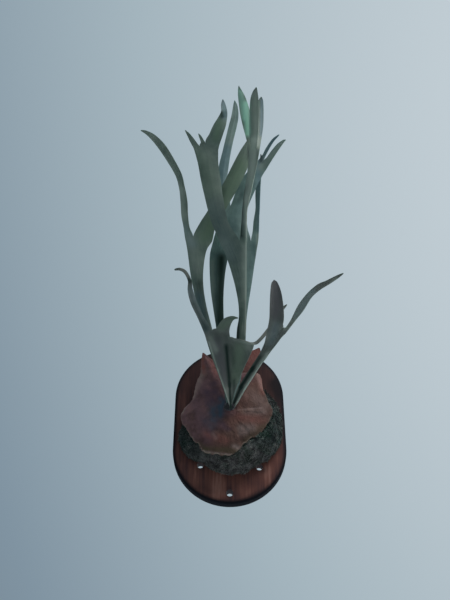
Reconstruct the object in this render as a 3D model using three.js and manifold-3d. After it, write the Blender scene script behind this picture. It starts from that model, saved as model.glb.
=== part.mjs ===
import * as THREE from "three";
import Module from "manifold-3d";

// Driving dimensions, in millimetres
const BOARD_WIDTH = 200;
const BOARD_HEIGHT = 305;
const BOARD_THICK = 19;
const BOARD_BEVEL = 3.5;
const TIE_HOLE = 12;
const TIE_HOLES = [[-0.2, -134.6], [-50.8, -84.7], [51.1, -88.5]];
const MOSS_BULGE = 42;
const ARCH = 120;
const SHIELD_THICK = 1.6;
const BLADE_THICK = 1.4;
const STALK_THICK = 3.4;

// The front sheet: leaf outlines are drawn on an upright sheet of 450 by 600 steps, counted
// from its top left corner, as the plant is seen from one point in front of it and well
// below. "forward" is how far a point stands in front of the board's back face, in mm, and
// ARCH is how much further forward the highest tips bow.
const STEP = 1.805;
const REACH = 1191;
const LEAN = 38 * Math.PI / 180;
const SHEET_AIM = [229.5, 420.7];
const FOCUS = REACH / STEP;
const AXIS = [0, Math.cos(LEAN), Math.sin(LEAN)];
const UPWARD = [0, -Math.sin(LEAN), Math.cos(LEAN)];
const OFF_X = (SHEET_AIM[0] - 225) * STEP;
const OFF_Y = (300 - SHEET_AIM[1]) * STEP;
const EYE = [
  -OFF_X,
  -BOARD_THICK - REACH * AXIS[1] - OFF_Y * UPWARD[1],
  -REACH * AXIS[2] - OFF_Y * UPWARD[2],
];

function place(x, y, forward) {
  const u = (x - 225) / FOCUS;
  const v = (300 - y) / FOCUS;
  const dir = [u, AXIS[1] + v * UPWARD[1], AXIS[2] + v * UPWARD[2]];
  const bow = ARCH * Math.max(0, (400 - y) / 314) ** 2;
  const t = (-forward - bow - EYE[1]) / dir[1];
  return new THREE.Vector3(EYE[0] + t * dir[0], EYE[1] + t * dir[1], EYE[2] + t * dir[2]);
}

// Materials
const wood = new THREE.MeshStandardMaterial({ color: "#4a2e28", roughness: 0.55 });
const mossGreen = new THREE.MeshStandardMaterial({ color: "#39423a", roughness: 1 });
const papery = new THREE.MeshStandardMaterial({ color: "#5d453b", roughness: 0.9 });
const budBrown = new THREE.MeshStandardMaterial({ color: "#4b4238", roughness: 1 });
const leafGreen = new THREE.MeshStandardMaterial({ color: "#5d7168", roughness: 0.75 });

const group = new THREE.Group();
group.name = "mounted_staghorn_fern";

function addPiece(name, geometry, material) {
  const piece = new THREE.Mesh(geometry, material);
  piece.name = name;
  group.add(piece);
}

// A geometry from listed points and triangles
function meshOf(points, faces) {
  const flat = [];
  for (const p of points) flat.push(p.x, p.y, p.z);
  const geometry = new THREE.BufferGeometry();
  geometry.setAttribute("position", new THREE.Float32BufferAttribute(flat, 3));
  geometry.setIndex(faces.flat());
  geometry.computeVertexNormals();
  return geometry;
}

// A smooth curve through listed values, read at any place between them
function through(values, at) {
  const n = values.length;
  const i = Math.min(Math.floor(at), n - 2);
  const f = at - i;
  const pick = (k) => {
    if (k < 0) return values[0].map((v, j) => 2 * v - values[1][j]);
    if (k > n - 1) return values[n - 1].map((v, j) => 2 * v - values[n - 2][j]);
    return values[k];
  };
  const [a, b, c, d] = [pick(i - 1), pick(i), pick(i + 1), pick(i + 2)];
  return b.map((v, j) => {
    const m0 = (c[j] - a[j]) / 2;
    const m1 = (d[j] - v) / 2;
    const f2 = f * f;
    const f3 = f2 * f;
    return (2 * f3 - 3 * f2 + 1) * v + (f3 - 2 * f2 + f) * m0
      + (3 * f2 - 2 * f3) * c[j] + (f3 - f2) * m1;
  });
}

// A closed loop drawn smoothly through its listed points
function smoothLoop(points, steps) {
  const n = points.length;
  const loop = [];
  const run = points.slice(-2).concat(points, points.slice(0, 3));
  for (let i = 0; i < n * steps; i += 1) loop.push(through(run, 2 + i / steps));
  return loop;
}

// One frond. A strip has rows [left x, left y, right x, right y, forward, turn, cup]:
// its two edges on the front sheet, how far forward it stands, how much further forward its
// right edge is than its left, and how deep it is hollowed. "forks" lists the notches between
// its child strips as [x, y, forward shift], and the children carry on from its last row. The
// lines that lead to the notches start evenly spaced at the foot, and drift to them.
function growStrip(points, faces, strip, cols, firstRow, parent) {
  const kids = strip.kids || [];
  const notches = strip.forks || [];
  const rows = strip.rows;
  const last = rows[rows.length - 1];
  const tracks = [];
  const shares = [0];
  for (const notch of notches) {
    const span = Math.hypot(last[2] - last[0], last[3] - last[1]) || 1;
    const dx = (last[2] - last[0]) / span;
    const dy = (last[3] - last[1]) / span;
    shares.push(((notch[0] - last[0]) * dx + (notch[1] - last[1]) * dy) / span);
  }
  shares.push(1);
  const edge = (row, share) => {
    const p = place(row[0] + (row[2] - row[0]) * share, row[1] + (row[3] - row[1]) * share,
      row[4] + row[5] * (share - 0.5));
    return [p.x, p.y, p.z];
  };
  shares.forEach((share, k) => {
    const even = k / (shares.length - 1);
    const line = rows.map((row, r) => {
      const near = (r / (rows.length - 1)) ** (strip.drift || 1.5);
      return edge(row, rows.length > 1 ? even + (share - even) * near : share);
    });
    if (k > 0 && k < shares.length - 1) {
      const notch = notches[k - 1];
      const tip = place(notch[0], notch[1], last[4] + last[5] * (share - 0.5) + (notch[2] || 0));
      line[line.length - 1] = [tip.x, tip.y, tip.z];
      if (strip.crease && k === strip.crease.track) {
        strip.crease.depth.forEach((d, r) => { line[r][1] += d; });
      }
    }
    tracks.push(line);
  });
  if (parent) {
    shares.forEach((share, k) => {
      const even = k / (shares.length - 1);
      tracks[k].unshift(parent.now(even));
      tracks[k].unshift(parent.past(even));
    });
  }
  const start = parent ? 1 : 0;
  const list = parent ? [[0, 0, 0, 0, 0, 0, parent.cup]].concat(rows) : rows;
  const fine = strip.fine || 2;
  const count = (tracks[0].length - 1 - start) * fine;
  const per = cols / (shares.length - 1);
  let above = firstRow;
  let rowIds = firstRow;
  for (let r = parent ? 1 : 0; r <= count; r += 1) {
    const at = start + r / fine;
    const marks = tracks.map((line) => through(line, at));
    const cup = through(list.map((row) => [row[6] || 0]), Math.max(0, at - start))[0];
    const left = new THREE.Vector3(...marks[0]);
    const right = new THREE.Vector3(...marks[marks.length - 1]);
    const across = right.clone().sub(left);
    const back = new THREE.Vector3(across.y, -across.x, 0).normalize();
    if (back.y < 0) back.negate();
    rowIds = [];
    const spots = marks.map((mark) => new THREE.Vector3(...mark));
    const spans = spots.slice(1).map((spot, k) => spot.distanceTo(spots[k]));
    const wholeSpan = spans.reduce((sum, span) => sum + span, 0) || 1;
    for (let c = 0; c <= cols; c += 1) {
      const k = Math.min(Math.floor(c / per), marks.length - 2);
      const f = c / per - k;
      const p = spots[k].clone().lerp(spots[k + 1], f);
      const before = spans.slice(0, k).reduce((sum, span) => sum + span, 0);
      const s = (before + f * spans[k]) / wholeSpan;
      p.addScaledVector(back, cup * (1 - (2 * s - 1) ** 2));
      points.push(p);
      rowIds.push(points.length - 1);
    }
    if (above) {
      for (let c = 0; c < cols; c += 1) {
        faces.push([above[c], above[c + 1], rowIds[c + 1]]);
        faces.push([above[c], rowIds[c + 1], rowIds[c]]);
      }
    }
    above = rowIds;
  }
  const tracksNow = tracks.map((line) => line[line.length - 1]);
  const tracksPast = tracks.map((line) => line[line.length - 2]);
  kids.forEach((kid, k) => {
    const ids = rowIds.slice(k * per, (k + 1) * per + 1);
    const mix = (pair) => (share) => pair[0].map((v, j) => v + (pair[1][j] - v) * share);
    growStrip(points, faces, kid, per, ids, {
      now: mix([tracksNow[k], tracksNow[k + 1]]),
      past: mix([tracksPast[k], tracksPast[k + 1]]),
      cup: 0,
    });
  });
}

// A thin closed body from a middle surface: the same triangles on both faces, walled at the rim
function slab(points, faces, thickAt) {
  const normals = points.map(() => new THREE.Vector3());
  for (const [a, b, c] of faces) {
    const n = points[b].clone().sub(points[a]).cross(points[c].clone().sub(points[a]));
    normals[a].add(n);
    normals[b].add(n);
    normals[c].add(n);
  }
  normals.forEach((n) => n.normalize());
  const n0 = points.length;
  const all = [];
  points.forEach((p, i) => all.push(p.clone().addScaledVector(normals[i], thickAt(i) / 2)));
  points.forEach((p, i) => all.push(p.clone().addScaledVector(normals[i], -thickAt(i) / 2)));
  const out = [];
  const edges = new Map();
  for (const [a, b, c] of faces) {
    out.push([a, b, c]);
    out.push([a + n0, c + n0, b + n0]);
    for (const [s, e] of [[a, b], [b, c], [c, a]]) {
      if (edges.has(`${e} ${s}`)) edges.delete(`${e} ${s}`);
      else edges.set(`${s} ${e}`, [s, e]);
    }
  }
  for (const [s, e] of edges.values()) {
    out.push([e, s, s + n0]);
    out.push([e, s + n0, e + n0]);
  }
  return meshOf(all, out);
}

// A whole frond, thick at the foot and thin above, and the socket that its foot needs in the
// crown: the same foot, a little wider, thicker and deeper
const sockets = [];

function addFrond(name, strip, cols) {
  const points = [];
  const faces = [];
  growStrip(points, faces, strip, cols, null, null);
  const low = points[0].clone();
  const thickAt = (i) => {
    const away = points[i].distanceTo(low);
    return BLADE_THICK + (STALK_THICK - BLADE_THICK) * Math.max(0, 1 - away / 120);
  };
  addPiece(name, slab(points, faces, thickAt), leafGreen);
  const wide = 0.3;
  const up = [strip.rows[1][0] - strip.rows[0][0], strip.rows[1][1] - strip.rows[0][1]];
  const reach = Math.hypot(...up);
  const footRows = strip.rows.slice(0, 4).map(([x0, y0, x1, y1, f, turn, cup], r) => {
    const span = Math.hypot(x1 - x0, y1 - y0);
    const [dx, dy] = [wide * (x1 - x0) / span, wide * (y1 - y0) / span];
    const [bx, by] = r === 0 ? [wide * up[0] / reach, wide * up[1] / reach] : [0, 0];
    return [x0 - dx - bx, y0 - dy - by, x1 + dx - bx, y1 + dy - by, f, turn, cup];
  });
  const footPoints = [];
  const footFaces = [];
  growStrip(footPoints, footFaces, { rows: footRows }, 4, null, null);
  sockets.push(slab(footPoints, footFaces, () => STALK_THICK + 0.9));
}

// The board: a stadium with a bevelled rim and three drilled tie holes
function boardGeometry(wasm) {
  const round = BOARD_WIDTH / 2;
  const straight = (BOARD_HEIGHT - BOARD_WIDTH) / 2;
  const outline = (inset) => {
    const loop = [];
    for (let i = 0; i <= 24; i += 1) {
      const a = Math.PI * i / 24;
      loop.push([(round - inset) * Math.cos(a), straight + (round - inset) * Math.sin(a)]);
    }
    for (let i = 0; i <= 24; i += 1) {
      const a = Math.PI + Math.PI * i / 24;
      loop.push([(round - inset) * Math.cos(a), -straight + (round - inset) * Math.sin(a)]);
    }
    return loop;
  };
  const levels = [
    [0, 1.5], [-1.5, 0], [-BOARD_THICK + BOARD_BEVEL, 0],
    [-BOARD_THICK + 1, BOARD_BEVEL * 0.7], [-BOARD_THICK, BOARD_BEVEL + 1.5],
  ];
  const points = [];
  const faces = [];
  const size = outline(0).length;
  levels.forEach(([y, inset]) => {
    outline(inset).forEach(([x, z]) => points.push(new THREE.Vector3(x, y, z)));
  });
  for (let l = 0; l < levels.length - 1; l += 1) {
    for (let i = 0; i < size; i += 1) {
      const a = l * size + i;
      const b = l * size + (i + 1) % size;
      faces.push([a, b, b + size]);
      faces.push([a, b + size, a + size]);
    }
  }
  const backMid = points.push(new THREE.Vector3(0, 0, 0)) - 1;
  const frontMid = points.push(new THREE.Vector3(0, -BOARD_THICK, 0)) - 1;
  const top = (levels.length - 1) * size;
  for (let i = 0; i < size; i += 1) {
    const j = (i + 1) % size;
    faces.push([j, i, backMid]);
    faces.push([top + i, top + j, frontMid]);
  }
  let body = solid(wasm, meshOf(points, faces));
  for (const [x, z] of TIE_HOLES) {
    const drill = new THREE.CylinderGeometry(TIE_HOLE / 2, TIE_HOLE / 2, 60, 20);
    drill.translate(x, 0, z);
    body = body.subtract(solid(wasm, drill));
  }
  return unsolid(body);
}

// A geometry as a solid for cutting, its alike corners joined, and back again
function solid(wasm, geometry) {
  const pos = geometry.attributes.position;
  const seen = new Map();
  const verts = [];
  const map = [];
  for (let i = 0; i < pos.count; i += 1) {
    const p = [pos.getX(i), pos.getY(i), pos.getZ(i)];
    const key = p.map((v) => Math.round(v * 1e4)).join(" ");
    if (!seen.has(key)) {
      seen.set(key, verts.length / 3);
      verts.push(...p);
    }
    map.push(seen.get(key));
  }
  const tris = [];
  const index = geometry.index.array;
  for (let i = 0; i < index.length; i += 3) {
    const [a, b, c] = [map[index[i]], map[index[i + 1]], map[index[i + 2]]];
    if (a !== b && b !== c && c !== a) tris.push(a, b, c);
  }
  return new wasm.Manifold(new wasm.Mesh({
    numProp: 3,
    vertProperties: new Float32Array(verts),
    triVerts: new Uint32Array(tris),
  }));
}

function unsolid(body) {
  const mesh = body.getMesh();
  const geometry = new THREE.BufferGeometry();
  geometry.setAttribute("position", new THREE.BufferAttribute(new Float32Array(mesh.vertProperties), 3));
  geometry.setIndex([...mesh.triVerts]);
  geometry.computeVertexNormals();
  return geometry;
}

// Rings of points from a middle out to an edge, as a bent sheet
function disc(middle, rings) {
  const points = [middle];
  const faces = [];
  rings.forEach((ring, r) => {
    const base = points.length;
    ring.forEach((p) => points.push(p));
    const n = ring.length;
    for (let i = 0; i < n; i += 1) {
      const j = (i + 1) % n;
      if (r === 0) {
        faces.push([0, base + i, base + j]);
      } else {
        faces.push([base - n + i, base + i, base + j]);
        faces.push([base - n + i, base + j, base - n + j]);
      }
    }
  });
  return [points, faces];
}

const wasm = await Module();
wasm.setup();

addPiece("mounting_board", boardGeometry(wasm), wood);

// Front shield frond: a papery dome over the moss, with a tall tip at each side
const shieldEdge = smoothLoop([
  [231, 372, 54], [222, 366, 52], [212, 359, 50], [203.5, 353, 46], [200.8, 363, 43],
  [199, 374, 42], [194, 387, 40], [189.5, 398, 38], [184, 407, 36], [180, 414, 35],
  [181.5, 424, 36], [187, 433.5, 41], [193, 440, 46], [199.3, 448, 50], [204, 455, 51],
  [216, 457, 53], [231, 456, 53], [241, 449, 56], [252, 440.5, 55], [262, 433.5, 52],
  [271, 422, 48], [273.2, 410, 47], [268.5, 400, 50], [264.5, 391, 52], [262, 380, 53],
  [258, 372, 54], [246, 372, 54],
], 2);
const shieldMid = [229, 412];
const shieldTop = 72;
const shieldRings = [0.22, 0.45, 0.68, 0.86, 1].map((s, k) => {
  const swell = [1, 0.86, 0.6, 0.3, 0][k];
  return shieldEdge.map(([x, y, f]) => place(
    shieldMid[0] + (x - shieldMid[0]) * s, shieldMid[1] + (y - shieldMid[1]) * s,
    f + (shieldTop - f) * swell));
});
const [shieldPoints, shieldFaces] = disc(place(...shieldMid, shieldTop), shieldRings);
addPiece("shield_frond_front", slab(shieldPoints, shieldFaces, () => SHIELD_THICK), papery);

// Moss root ball: a mound on the board, fullest at the lower right and thin at the left and
// the top, where the shield frond hides it, and hollowed where that frond lies on it
const mossEdge = [
  [179, 432], [178.4, 440], [181.5, 450], [188, 458.5], [196, 462], [204, 463.5], [211, 470],
  [222, 474], [233, 474.8], [245, 473], [253, 468], [259, 464], [267, 461], [275.5, 453],
  [281.5, 443], [283, 430], [281, 414], [275, 402], [265.5, 391], [254, 379], [238, 371],
  [220, 370], [208, 377], [202, 391], [189.5, 410],
];
const mossMid = [231, 420];
const mossFront = BOARD_THICK + 0.3;
const mossRing = (share, height) => mossEdge.map(([x, y]) => {
  const fullness = THREE.MathUtils.clamp(0.78 + (x - 231) / 230 + (y - 420) / 300, 0.5, 1);
  return place(mossMid[0] + (x - mossMid[0]) * share, mossMid[1] + (y - mossMid[1]) * share,
    mossFront + MOSS_BULGE * height * (share > 0.5 ? fullness : 1));
});
{
  const rings = [
    mossRing(0.35, 1), mossRing(0.62, 0.95), mossRing(0.82, 0.78), mossRing(0.95, 0.45),
    mossRing(0.985, 0.2), mossRing(0.95, 0), mossRing(0.5, 0),
  ];
  const [points, faces] = disc(place(...mossMid, mossFront + MOSS_BULGE), rings);
  const end = points.length;
  points.push(place(...mossMid, mossFront));
  const n = mossEdge.length;
  for (let i = 0; i < n; i += 1) faces.push([end, end - n + (i + 1) % n, end - n + i]);
  const mound = solid(wasm, meshOf(points, faces));
  const hub = shieldPoints[0];
  const behind = shieldPoints.map((p, i) => {
    const wide = i < shieldPoints.length - shieldEdge.length ? 1 : 1.03;
    return new THREE.Vector3(hub.x + (p.x - hub.x) * wide, p.y + 2.65, hub.z + (p.z - hub.z) * wide);
  });
  const deep = behind.map((p) => p.clone().add(new THREE.Vector3(0, -90, 0)));
  const far = behind.length;
  const rim = far - shieldEdge.length;
  const walls = [];
  for (const [i, j, k] of shieldFaces) {
    walls.push([i + far, j + far, k + far]);
    walls.push([i, k, j]);
  }
  for (let i = 0; i < shieldEdge.length; i += 1) {
    const j = (i + 1) % shieldEdge.length;
    walls.push([rim + i, rim + j, rim + j + far]);
    walls.push([rim + i, rim + j + far, rim + i + far]);
  }
  const room = solid(wasm, meshOf(behind.concat(deep), walls));
  addPiece("moss_root_ball", unsolid(mound.subtract(room)), mossGreen);
}

// Back shield frond: an upright lobe behind, its tip bent a little forward
addPiece("shield_frond_back", (() => {
  const points = [];
  const faces = [];
  growStrip(points, faces, {
    rows: [
      [236, 376, 258, 376, 51.6, 0, 0], [236, 368, 260.5, 369, 48.5, 0, -3],
      [240, 360, 261.5, 362, 45, 0, -4], [247, 353.5, 261.5, 355, 44, 0, -3],
      [255, 349.5, 260.5, 350.5, 46, 0, 0], [258.3, 347.7, 260, 348, 47, 0, 0],
    ],
  }, 6, null, null);
  return slab(points, faces, () => SHIELD_THICK);
})(), papery);

addFrond("frond_left", {
  rows: [
    [223.4, 404.6, 226.6, 404.6, 83.5, 0, 0], [216.5, 380, 222, 381, 86, 0, -1],
    [209, 354, 217, 355, 91, 2, -2], [204, 331, 212.6, 331, 96, 3, -3],
    [197, 304, 205.5, 302, 104, 4, -3], [191.3, 278, 203, 278, 113, 4, -3],
    [187.6, 251.4, 205.8, 253, 124, 3, -2], [185, 238, 212, 241.5, 130, 2, 0],
  ],
  forks: [[193.2, 236.5]],
  kids: [
    {
      rows: [
        [183.6, 227, 189.5, 227, 135, 5, 0], [181.5, 215, 188, 214, 140, 6, -1],
        [180.7, 202, 187.3, 200, 146, 6, -1], [179.2, 188, 184.6, 186, 153, 6, -1],
        [175.9, 176.3, 181.7, 174, 158, 5, -1], [168, 162.5, 174, 159, 164, 4, -1],
        [158.7, 148.7, 164.8, 144.5, 168, 3, -1], [150.3, 138.5, 155, 135, 170, 2, 0],
        [144.5, 133.2, 147, 130.9, 170, 1, 0], [140.6, 131, 141, 129.9, 169, 0, 0],
      ],
    },
    {
      rows: [
        [200, 223, 215.6, 226.5, 138, 0, -1], [207, 212, 223.6, 213, 144, -2, -2],
        [213.5, 200, 228.9, 203.5, 149, -3, -3], [221.6, 187, 236.8, 190.2, 155, -3, -3],
        [227.9, 174.6, 243, 176, 160, -3, -3], [233.2, 163.9, 248, 163, 164, -3, -3],
        [240.4, 150.5, 249.5, 150, 168, -2, -1], [246, 142, 250, 142, 170, -1, 0],
        [248.8, 138, 250, 138, 171, 0, 0],
      ],
    },
  ],
}, 8);

addFrond("frond_short", {
  rows: [
    [227.2, 405.4, 231.6, 405.2, 90.4, 0, 0], [223, 391, 234.4, 391.5, 96, 0, 0],
    [216, 370, 242.5, 371, 106, 2, 0], [209.5, 350, 252, 351, 120, 3, 0],
    [204.3, 333.5, 254, 345, 131, 4, 0],
  ],
  forks: [[212, 331.5], [230, 337.5]],
  drift: 0.4,
  crease: { track: 2, depth: [0, 1, 8, 6, 0] },
  kids: [
    {
      rows: [
        [197.8, 317.8, 203.2, 316, 138, -4, 0], [190.6, 302.4, 196.5, 301, 144, -5, 0],
        [187.8, 290, 192.5, 289, 148, -5, 0], [188, 281, 191.2, 280, 152, -3, 0],
        [184.3, 273.3, 186.4, 271, 157, -1, 0], [179.4, 270.4, 180.2, 267.9, 161, 0, 0],
        [174.5, 270.7, 174.3, 268.6, 163, 0, 0],
      ],
    },
    {
      rows: [
        [216.5, 328, 229.3, 331, 139, 2, 1], [220, 322.5, 230.5, 325.5, 145, 2, 1],
        [225, 318, 232.7, 321, 150, 1, 0], [232, 316, 235.3, 319, 154, 0, 0],
        [238, 317.3, 238.4, 318.6, 156, 0, 0],
      ],
    },
    {
      rows: [[234, 340, 255.3, 344.6, 130, -2, 0]],
      forks: [[251.5, 342.6]],
      kids: [
        {
          rows: [
            [238, 341, 250.5, 342.4, 125, -2, 0], [241, 342.2, 248.5, 342.8, 119, -1, 0],
            [243, 343.6, 246.5, 343.8, 113, 0, 0],
          ],
        },
        {
          rows: [
            [257.3, 340, 259.4, 342.6, 126, 0, 0], [265.5, 330.6, 268, 333, 122, 0, 0],
            [275, 317.5, 277.6, 319.5, 119, 0, 0], [281, 308.2, 283.6, 310, 119, 0, 0],
            [286.8, 303.9, 287.4, 305.2, 120, 0, 0],
          ],
        },
      ],
    },
  ],
}, 12);

addFrond("frond_right", {
  rows: [
    [233.4, 405.2, 235.6, 406, 86, 3, 0], [238.8, 387, 245, 389.3, 96, 8, 1],
    [249.8, 368.8, 258.6, 367.8, 112, 10, 2], [258, 356, 267.6, 355, 126, 10, 3],
    [264, 345, 281, 338, 139, 8, 2],
  ],
  forks: [[282.3, 329.5]],
  kids: [
    {
      rows: [
        [267, 331, 283, 324.5, 146, 4, 2], [269.3, 319, 283.9, 318, 151, 2, 3],
        [269.8, 307, 283.3, 305, 156, 0, 3], [270.3, 294, 281.2, 292, 160, -1, 2],
        [271.3, 284, 277.8, 283, 162, -1, 1], [273.2, 280, 275, 280, 162, 0, 0],
      ],
    },
    {
      rows: [
        [285.5, 328, 286.3, 332.3, 150, 4, 0], [290.8, 320.2, 294.6, 321.4, 158, 5, 0],
        [298.5, 304.8, 302.9, 311, 168, 6, 1], [307.4, 293.4, 311.2, 297.8, 176, 6, 1],
        [317.6, 284.4, 320.2, 289.5, 184, 4, 1], [326.5, 280.6, 329.7, 283.8, 191, 3, 0],
        [335.5, 276.1, 337.4, 278.7, 197, 1, 0], [343.2, 272.6, 343.7, 273.8, 202, 0, 0],
      ],
    },
  ],
}, 8);

addFrond("frond_front", {
  rows: [
    [228.2, 404.8, 231.2, 404.8, 85, 0, 0], [231.5, 380, 237, 380, 89, 1, 0],
    [235.5, 355, 243.5, 355, 97, 2, -1], [237, 331, 246, 331, 107, 3, -2],
    [239, 317.8, 246.2, 317.8, 114, 4, -2], [238.6, 304, 246.3, 304, 122, 4, -2],
    [235.5, 287, 246.5, 287, 132, 4, -3], [231.4, 271.8, 246.6, 272, 142, 4, -3],
    [226.2, 256, 246.7, 257, 152, 4, -2], [219.5, 241, 246.8, 241.5, 162, 5, 0],
  ],
  forks: [[239.5, 241]],
  kids: [
    {
      rows: [
        [211, 221, 228.2, 222, 173, 0, -3], [204.6, 196, 222.8, 196.5, 186, -1, -5],
        [201, 180, 220.6, 180, 194, -2, -5], [197.8, 163, 218.4, 165, 202, -2, -3],
        [193.8, 149, 218.2, 150.5, 208, -2, 0],
      ],
      forks: [[199.6, 147.5], [205.2, 143.5]],
      kids: [
        {
          rows: [
            [191.6, 144.5, 197.3, 143.5, 210, 0, 0], [189.4, 140.2, 193.8, 138.6, 212, 0, 0],
            [187, 135, 190, 134, 214, 0, 0], [184.7, 130.6, 185.6, 129.9, 216, 0, 0],
          ],
        },
        {
          rows: [
            [200.8, 142.5, 204, 140.8, 212, 0, 0], [199.2, 137.5, 201.8, 136.8, 213, 0, 0],
            [198, 133.8, 199, 133.4, 214, 0, 0],
          ],
        },
        {
          rows: [
            [209.5, 133.5, 222.4, 136, 216, -3, -2], [213.5, 124.8, 225.6, 126, 221, -6, -2],
            [217.6, 118.6, 227, 117, 225, -8, -1], [221.3, 111.5, 226.9, 110.8, 230, -7, 0],
            [221.3, 104.5, 225.2, 104, 234, -4, 0], [222.2, 99.3, 223.2, 99.2, 236, 0, 0],
          ],
        },
      ],
    },
    {
      rows: [
        [240.8, 235, 246.7, 235, 165, 10, 0], [241.6, 221, 246.5, 222, 172, 14, -1],
        [243, 205, 247.6, 206.5, 180, 15, -1], [244.8, 190, 251.2, 192, 187, 14, -2],
        [246.8, 178, 254.2, 177.5, 193, 12, -2], [248.3, 165, 257, 164.5, 200, 9, -2],
        [249, 152, 259.2, 152.5, 206, 6, 0],
      ],
      forks: [[251, 150], [256.6, 149.5]],
      kids: [
        {
          rows: [
            [246, 138, 250.5, 138.5, 203, 0, 0], [242.8, 126, 251, 126, 204, 0, -1],
            [240.2, 114, 250.6, 114.5, 206, 0, -1], [238.2, 98, 246, 99, 208, 0, -1],
            [237.9, 90.5, 241.8, 90.7, 209, 0, 0], [238.3, 85.8, 239, 85.8, 210, 0, 0],
          ],
        },
        {
          rows: [
            [249.3, 136, 257.8, 136.5, 217, 2, -1], [249.6, 118, 258.4, 118.5, 223, 3, -2],
            [250.3, 101, 258.6, 101, 229, 3, -2], [252.6, 92.4, 257.8, 93, 232, 2, -1],
            [255.8, 87.2, 257, 87.2, 234, 0, 0],
          ],
        },
        {
          rows: [
            [257, 141, 260.9, 141, 204, -4, 0], [256.5, 126, 263, 127, 203, -5, 0],
            [256.5, 112, 263.5, 113, 204, -5, 0], [258.4, 101, 263.1, 101.5, 206, -2, 0],
            [260.5, 96.8, 261.8, 96.8, 207, 0, 0],
          ],
        },
      ],
    },
  ],
}, 12);

addFrond("frond_side", {
  rows: [
    [231.3, 404.8, 233.9, 405, 79.8, 0, 0], [236, 380, 240.5, 380, 79, 0, 0],
    [239.5, 350, 245, 350, 84, 2, 0], [240, 323, 246.3, 323, 90, 3, -1],
    [240, 305, 248.2, 305, 96, 3, -2], [239.5, 284, 251.6, 284, 104, 3, -3],
    [238, 262, 254.9, 261.6, 113, 2, -2], [235.5, 243.5, 258, 243, 122, 2, 0],
  ],
  forks: [[250.8, 241.5]],
  kids: [
    {
      rows: [
        [229, 228, 247.5, 228, 126, 0, -2], [227, 214, 246.3, 214, 130, 0, -2],
        [231.6, 203.5, 248.5, 205.5, 132, 0, -2], [235.6, 192, 254.3, 192, 135, 0, -2],
        [240.5, 181, 261.5, 177, 139, 0, -2], [251, 169.5, 267.3, 167.5, 143, 0, 0],
      ],
      forks: [[262.6, 162]],
      kids: [
        {
          rows: [
            [261, 157, 264.4, 158.6, 145, 0, 0], [266.2, 147.8, 268.4, 150.4, 150, 0, 0],
            [272.5, 139, 274, 141.2, 156, 0, 0], [278.9, 134.1, 279.5, 135.2, 161, 0, 0],
          ],
        },
        {
          rows: [
            [266.8, 157.5, 271.6, 160.5, 149, 2, 0], [271, 151.5, 276.3, 153.3, 154, 3, 0],
            [277, 144.4, 281.6, 145.6, 160, 3, 0], [282.5, 140.3, 284.6, 141.4, 164, 1, 0],
            [285.5, 139.3, 286, 140.1, 166, 0, 0],
          ],
        },
      ],
    },
    {
      rows: [
        [252.6, 232, 258.8, 231.5, 124, 4, 0], [253.6, 222, 259.2, 221, 126, 6, 0],
        [255.6, 209, 259.6, 209.5, 128, 8, 0], [255.6, 192, 260.3, 192, 129, 8, 0],
        [257, 178, 261, 178, 130, 6, 0], [258.8, 165, 261.8, 165, 131, 3, 0],
        [260.2, 157, 261.8, 157, 132, 0, 0], [260.3, 154, 261.2, 154, 133, 0, 0],
      ],
    },
  ],
}, 8);

addFrond("frond_back", {
  rows: [
    [226.8, 405, 229.6, 405, 78.8, 0, 0], [222.5, 380, 226.6, 380, 77, 0, 0],
    [219, 350, 224, 350, 79, 1, 0], [216.3, 328, 223.9, 326, 82, 2, -1],
    [213.3, 308, 223.4, 307, 85, 3, -2], [211, 291, 223.6, 292, 88, 3, -3],
    [209.8, 272, 225.2, 273, 92, 3, -3], [210, 255, 228, 257, 97, 2, -3],
    [213.5, 240, 231, 239, 102, 0, -2], [219, 218, 231, 218, 107, -2, -2],
    [219, 198, 229.6, 199, 112, -3, -2], [218.2, 180, 227, 182, 117, -3, -2],
    [219, 166, 228.2, 169, 121, -3, -2], [222.4, 152, 230.6, 153.5, 125, -2, -1],
    [226, 137, 233.7, 139, 129, -2, -1], [229, 125, 236.8, 126.4, 133, -1, -1],
    [231.4, 115.7, 238.5, 116, 136, -1, 0], [232.9, 107, 237.6, 106.5, 138, 0, 0],
    [234, 100.6, 235.2, 100.4, 140, 0, 0],
  ],
}, 4);

// Crown: the furry bud that every green frond grows from, each in a socket of its own
{
  const bud = new THREE.SphereGeometry(10, 20, 14);
  bud.scale(1.42, 1.09, 1);
  const at = place(229.4, 406.6, 84.2);
  bud.translate(at.x, at.y, at.z);
  let body = solid(wasm, bud);
  for (const socket of sockets) body = body.subtract(solid(wasm, socket));
  addPiece("crown_bud", unsolid(body), budBrown);
}

export default group;
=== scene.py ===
# %% [markdown]
# A staghorn fern on a wooden board, built around the CAD frame. The frame comes first.

# %% Load the frame
import math

import bpy
import bmesh
import numpy as np
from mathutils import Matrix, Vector, kdtree, noise


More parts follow.
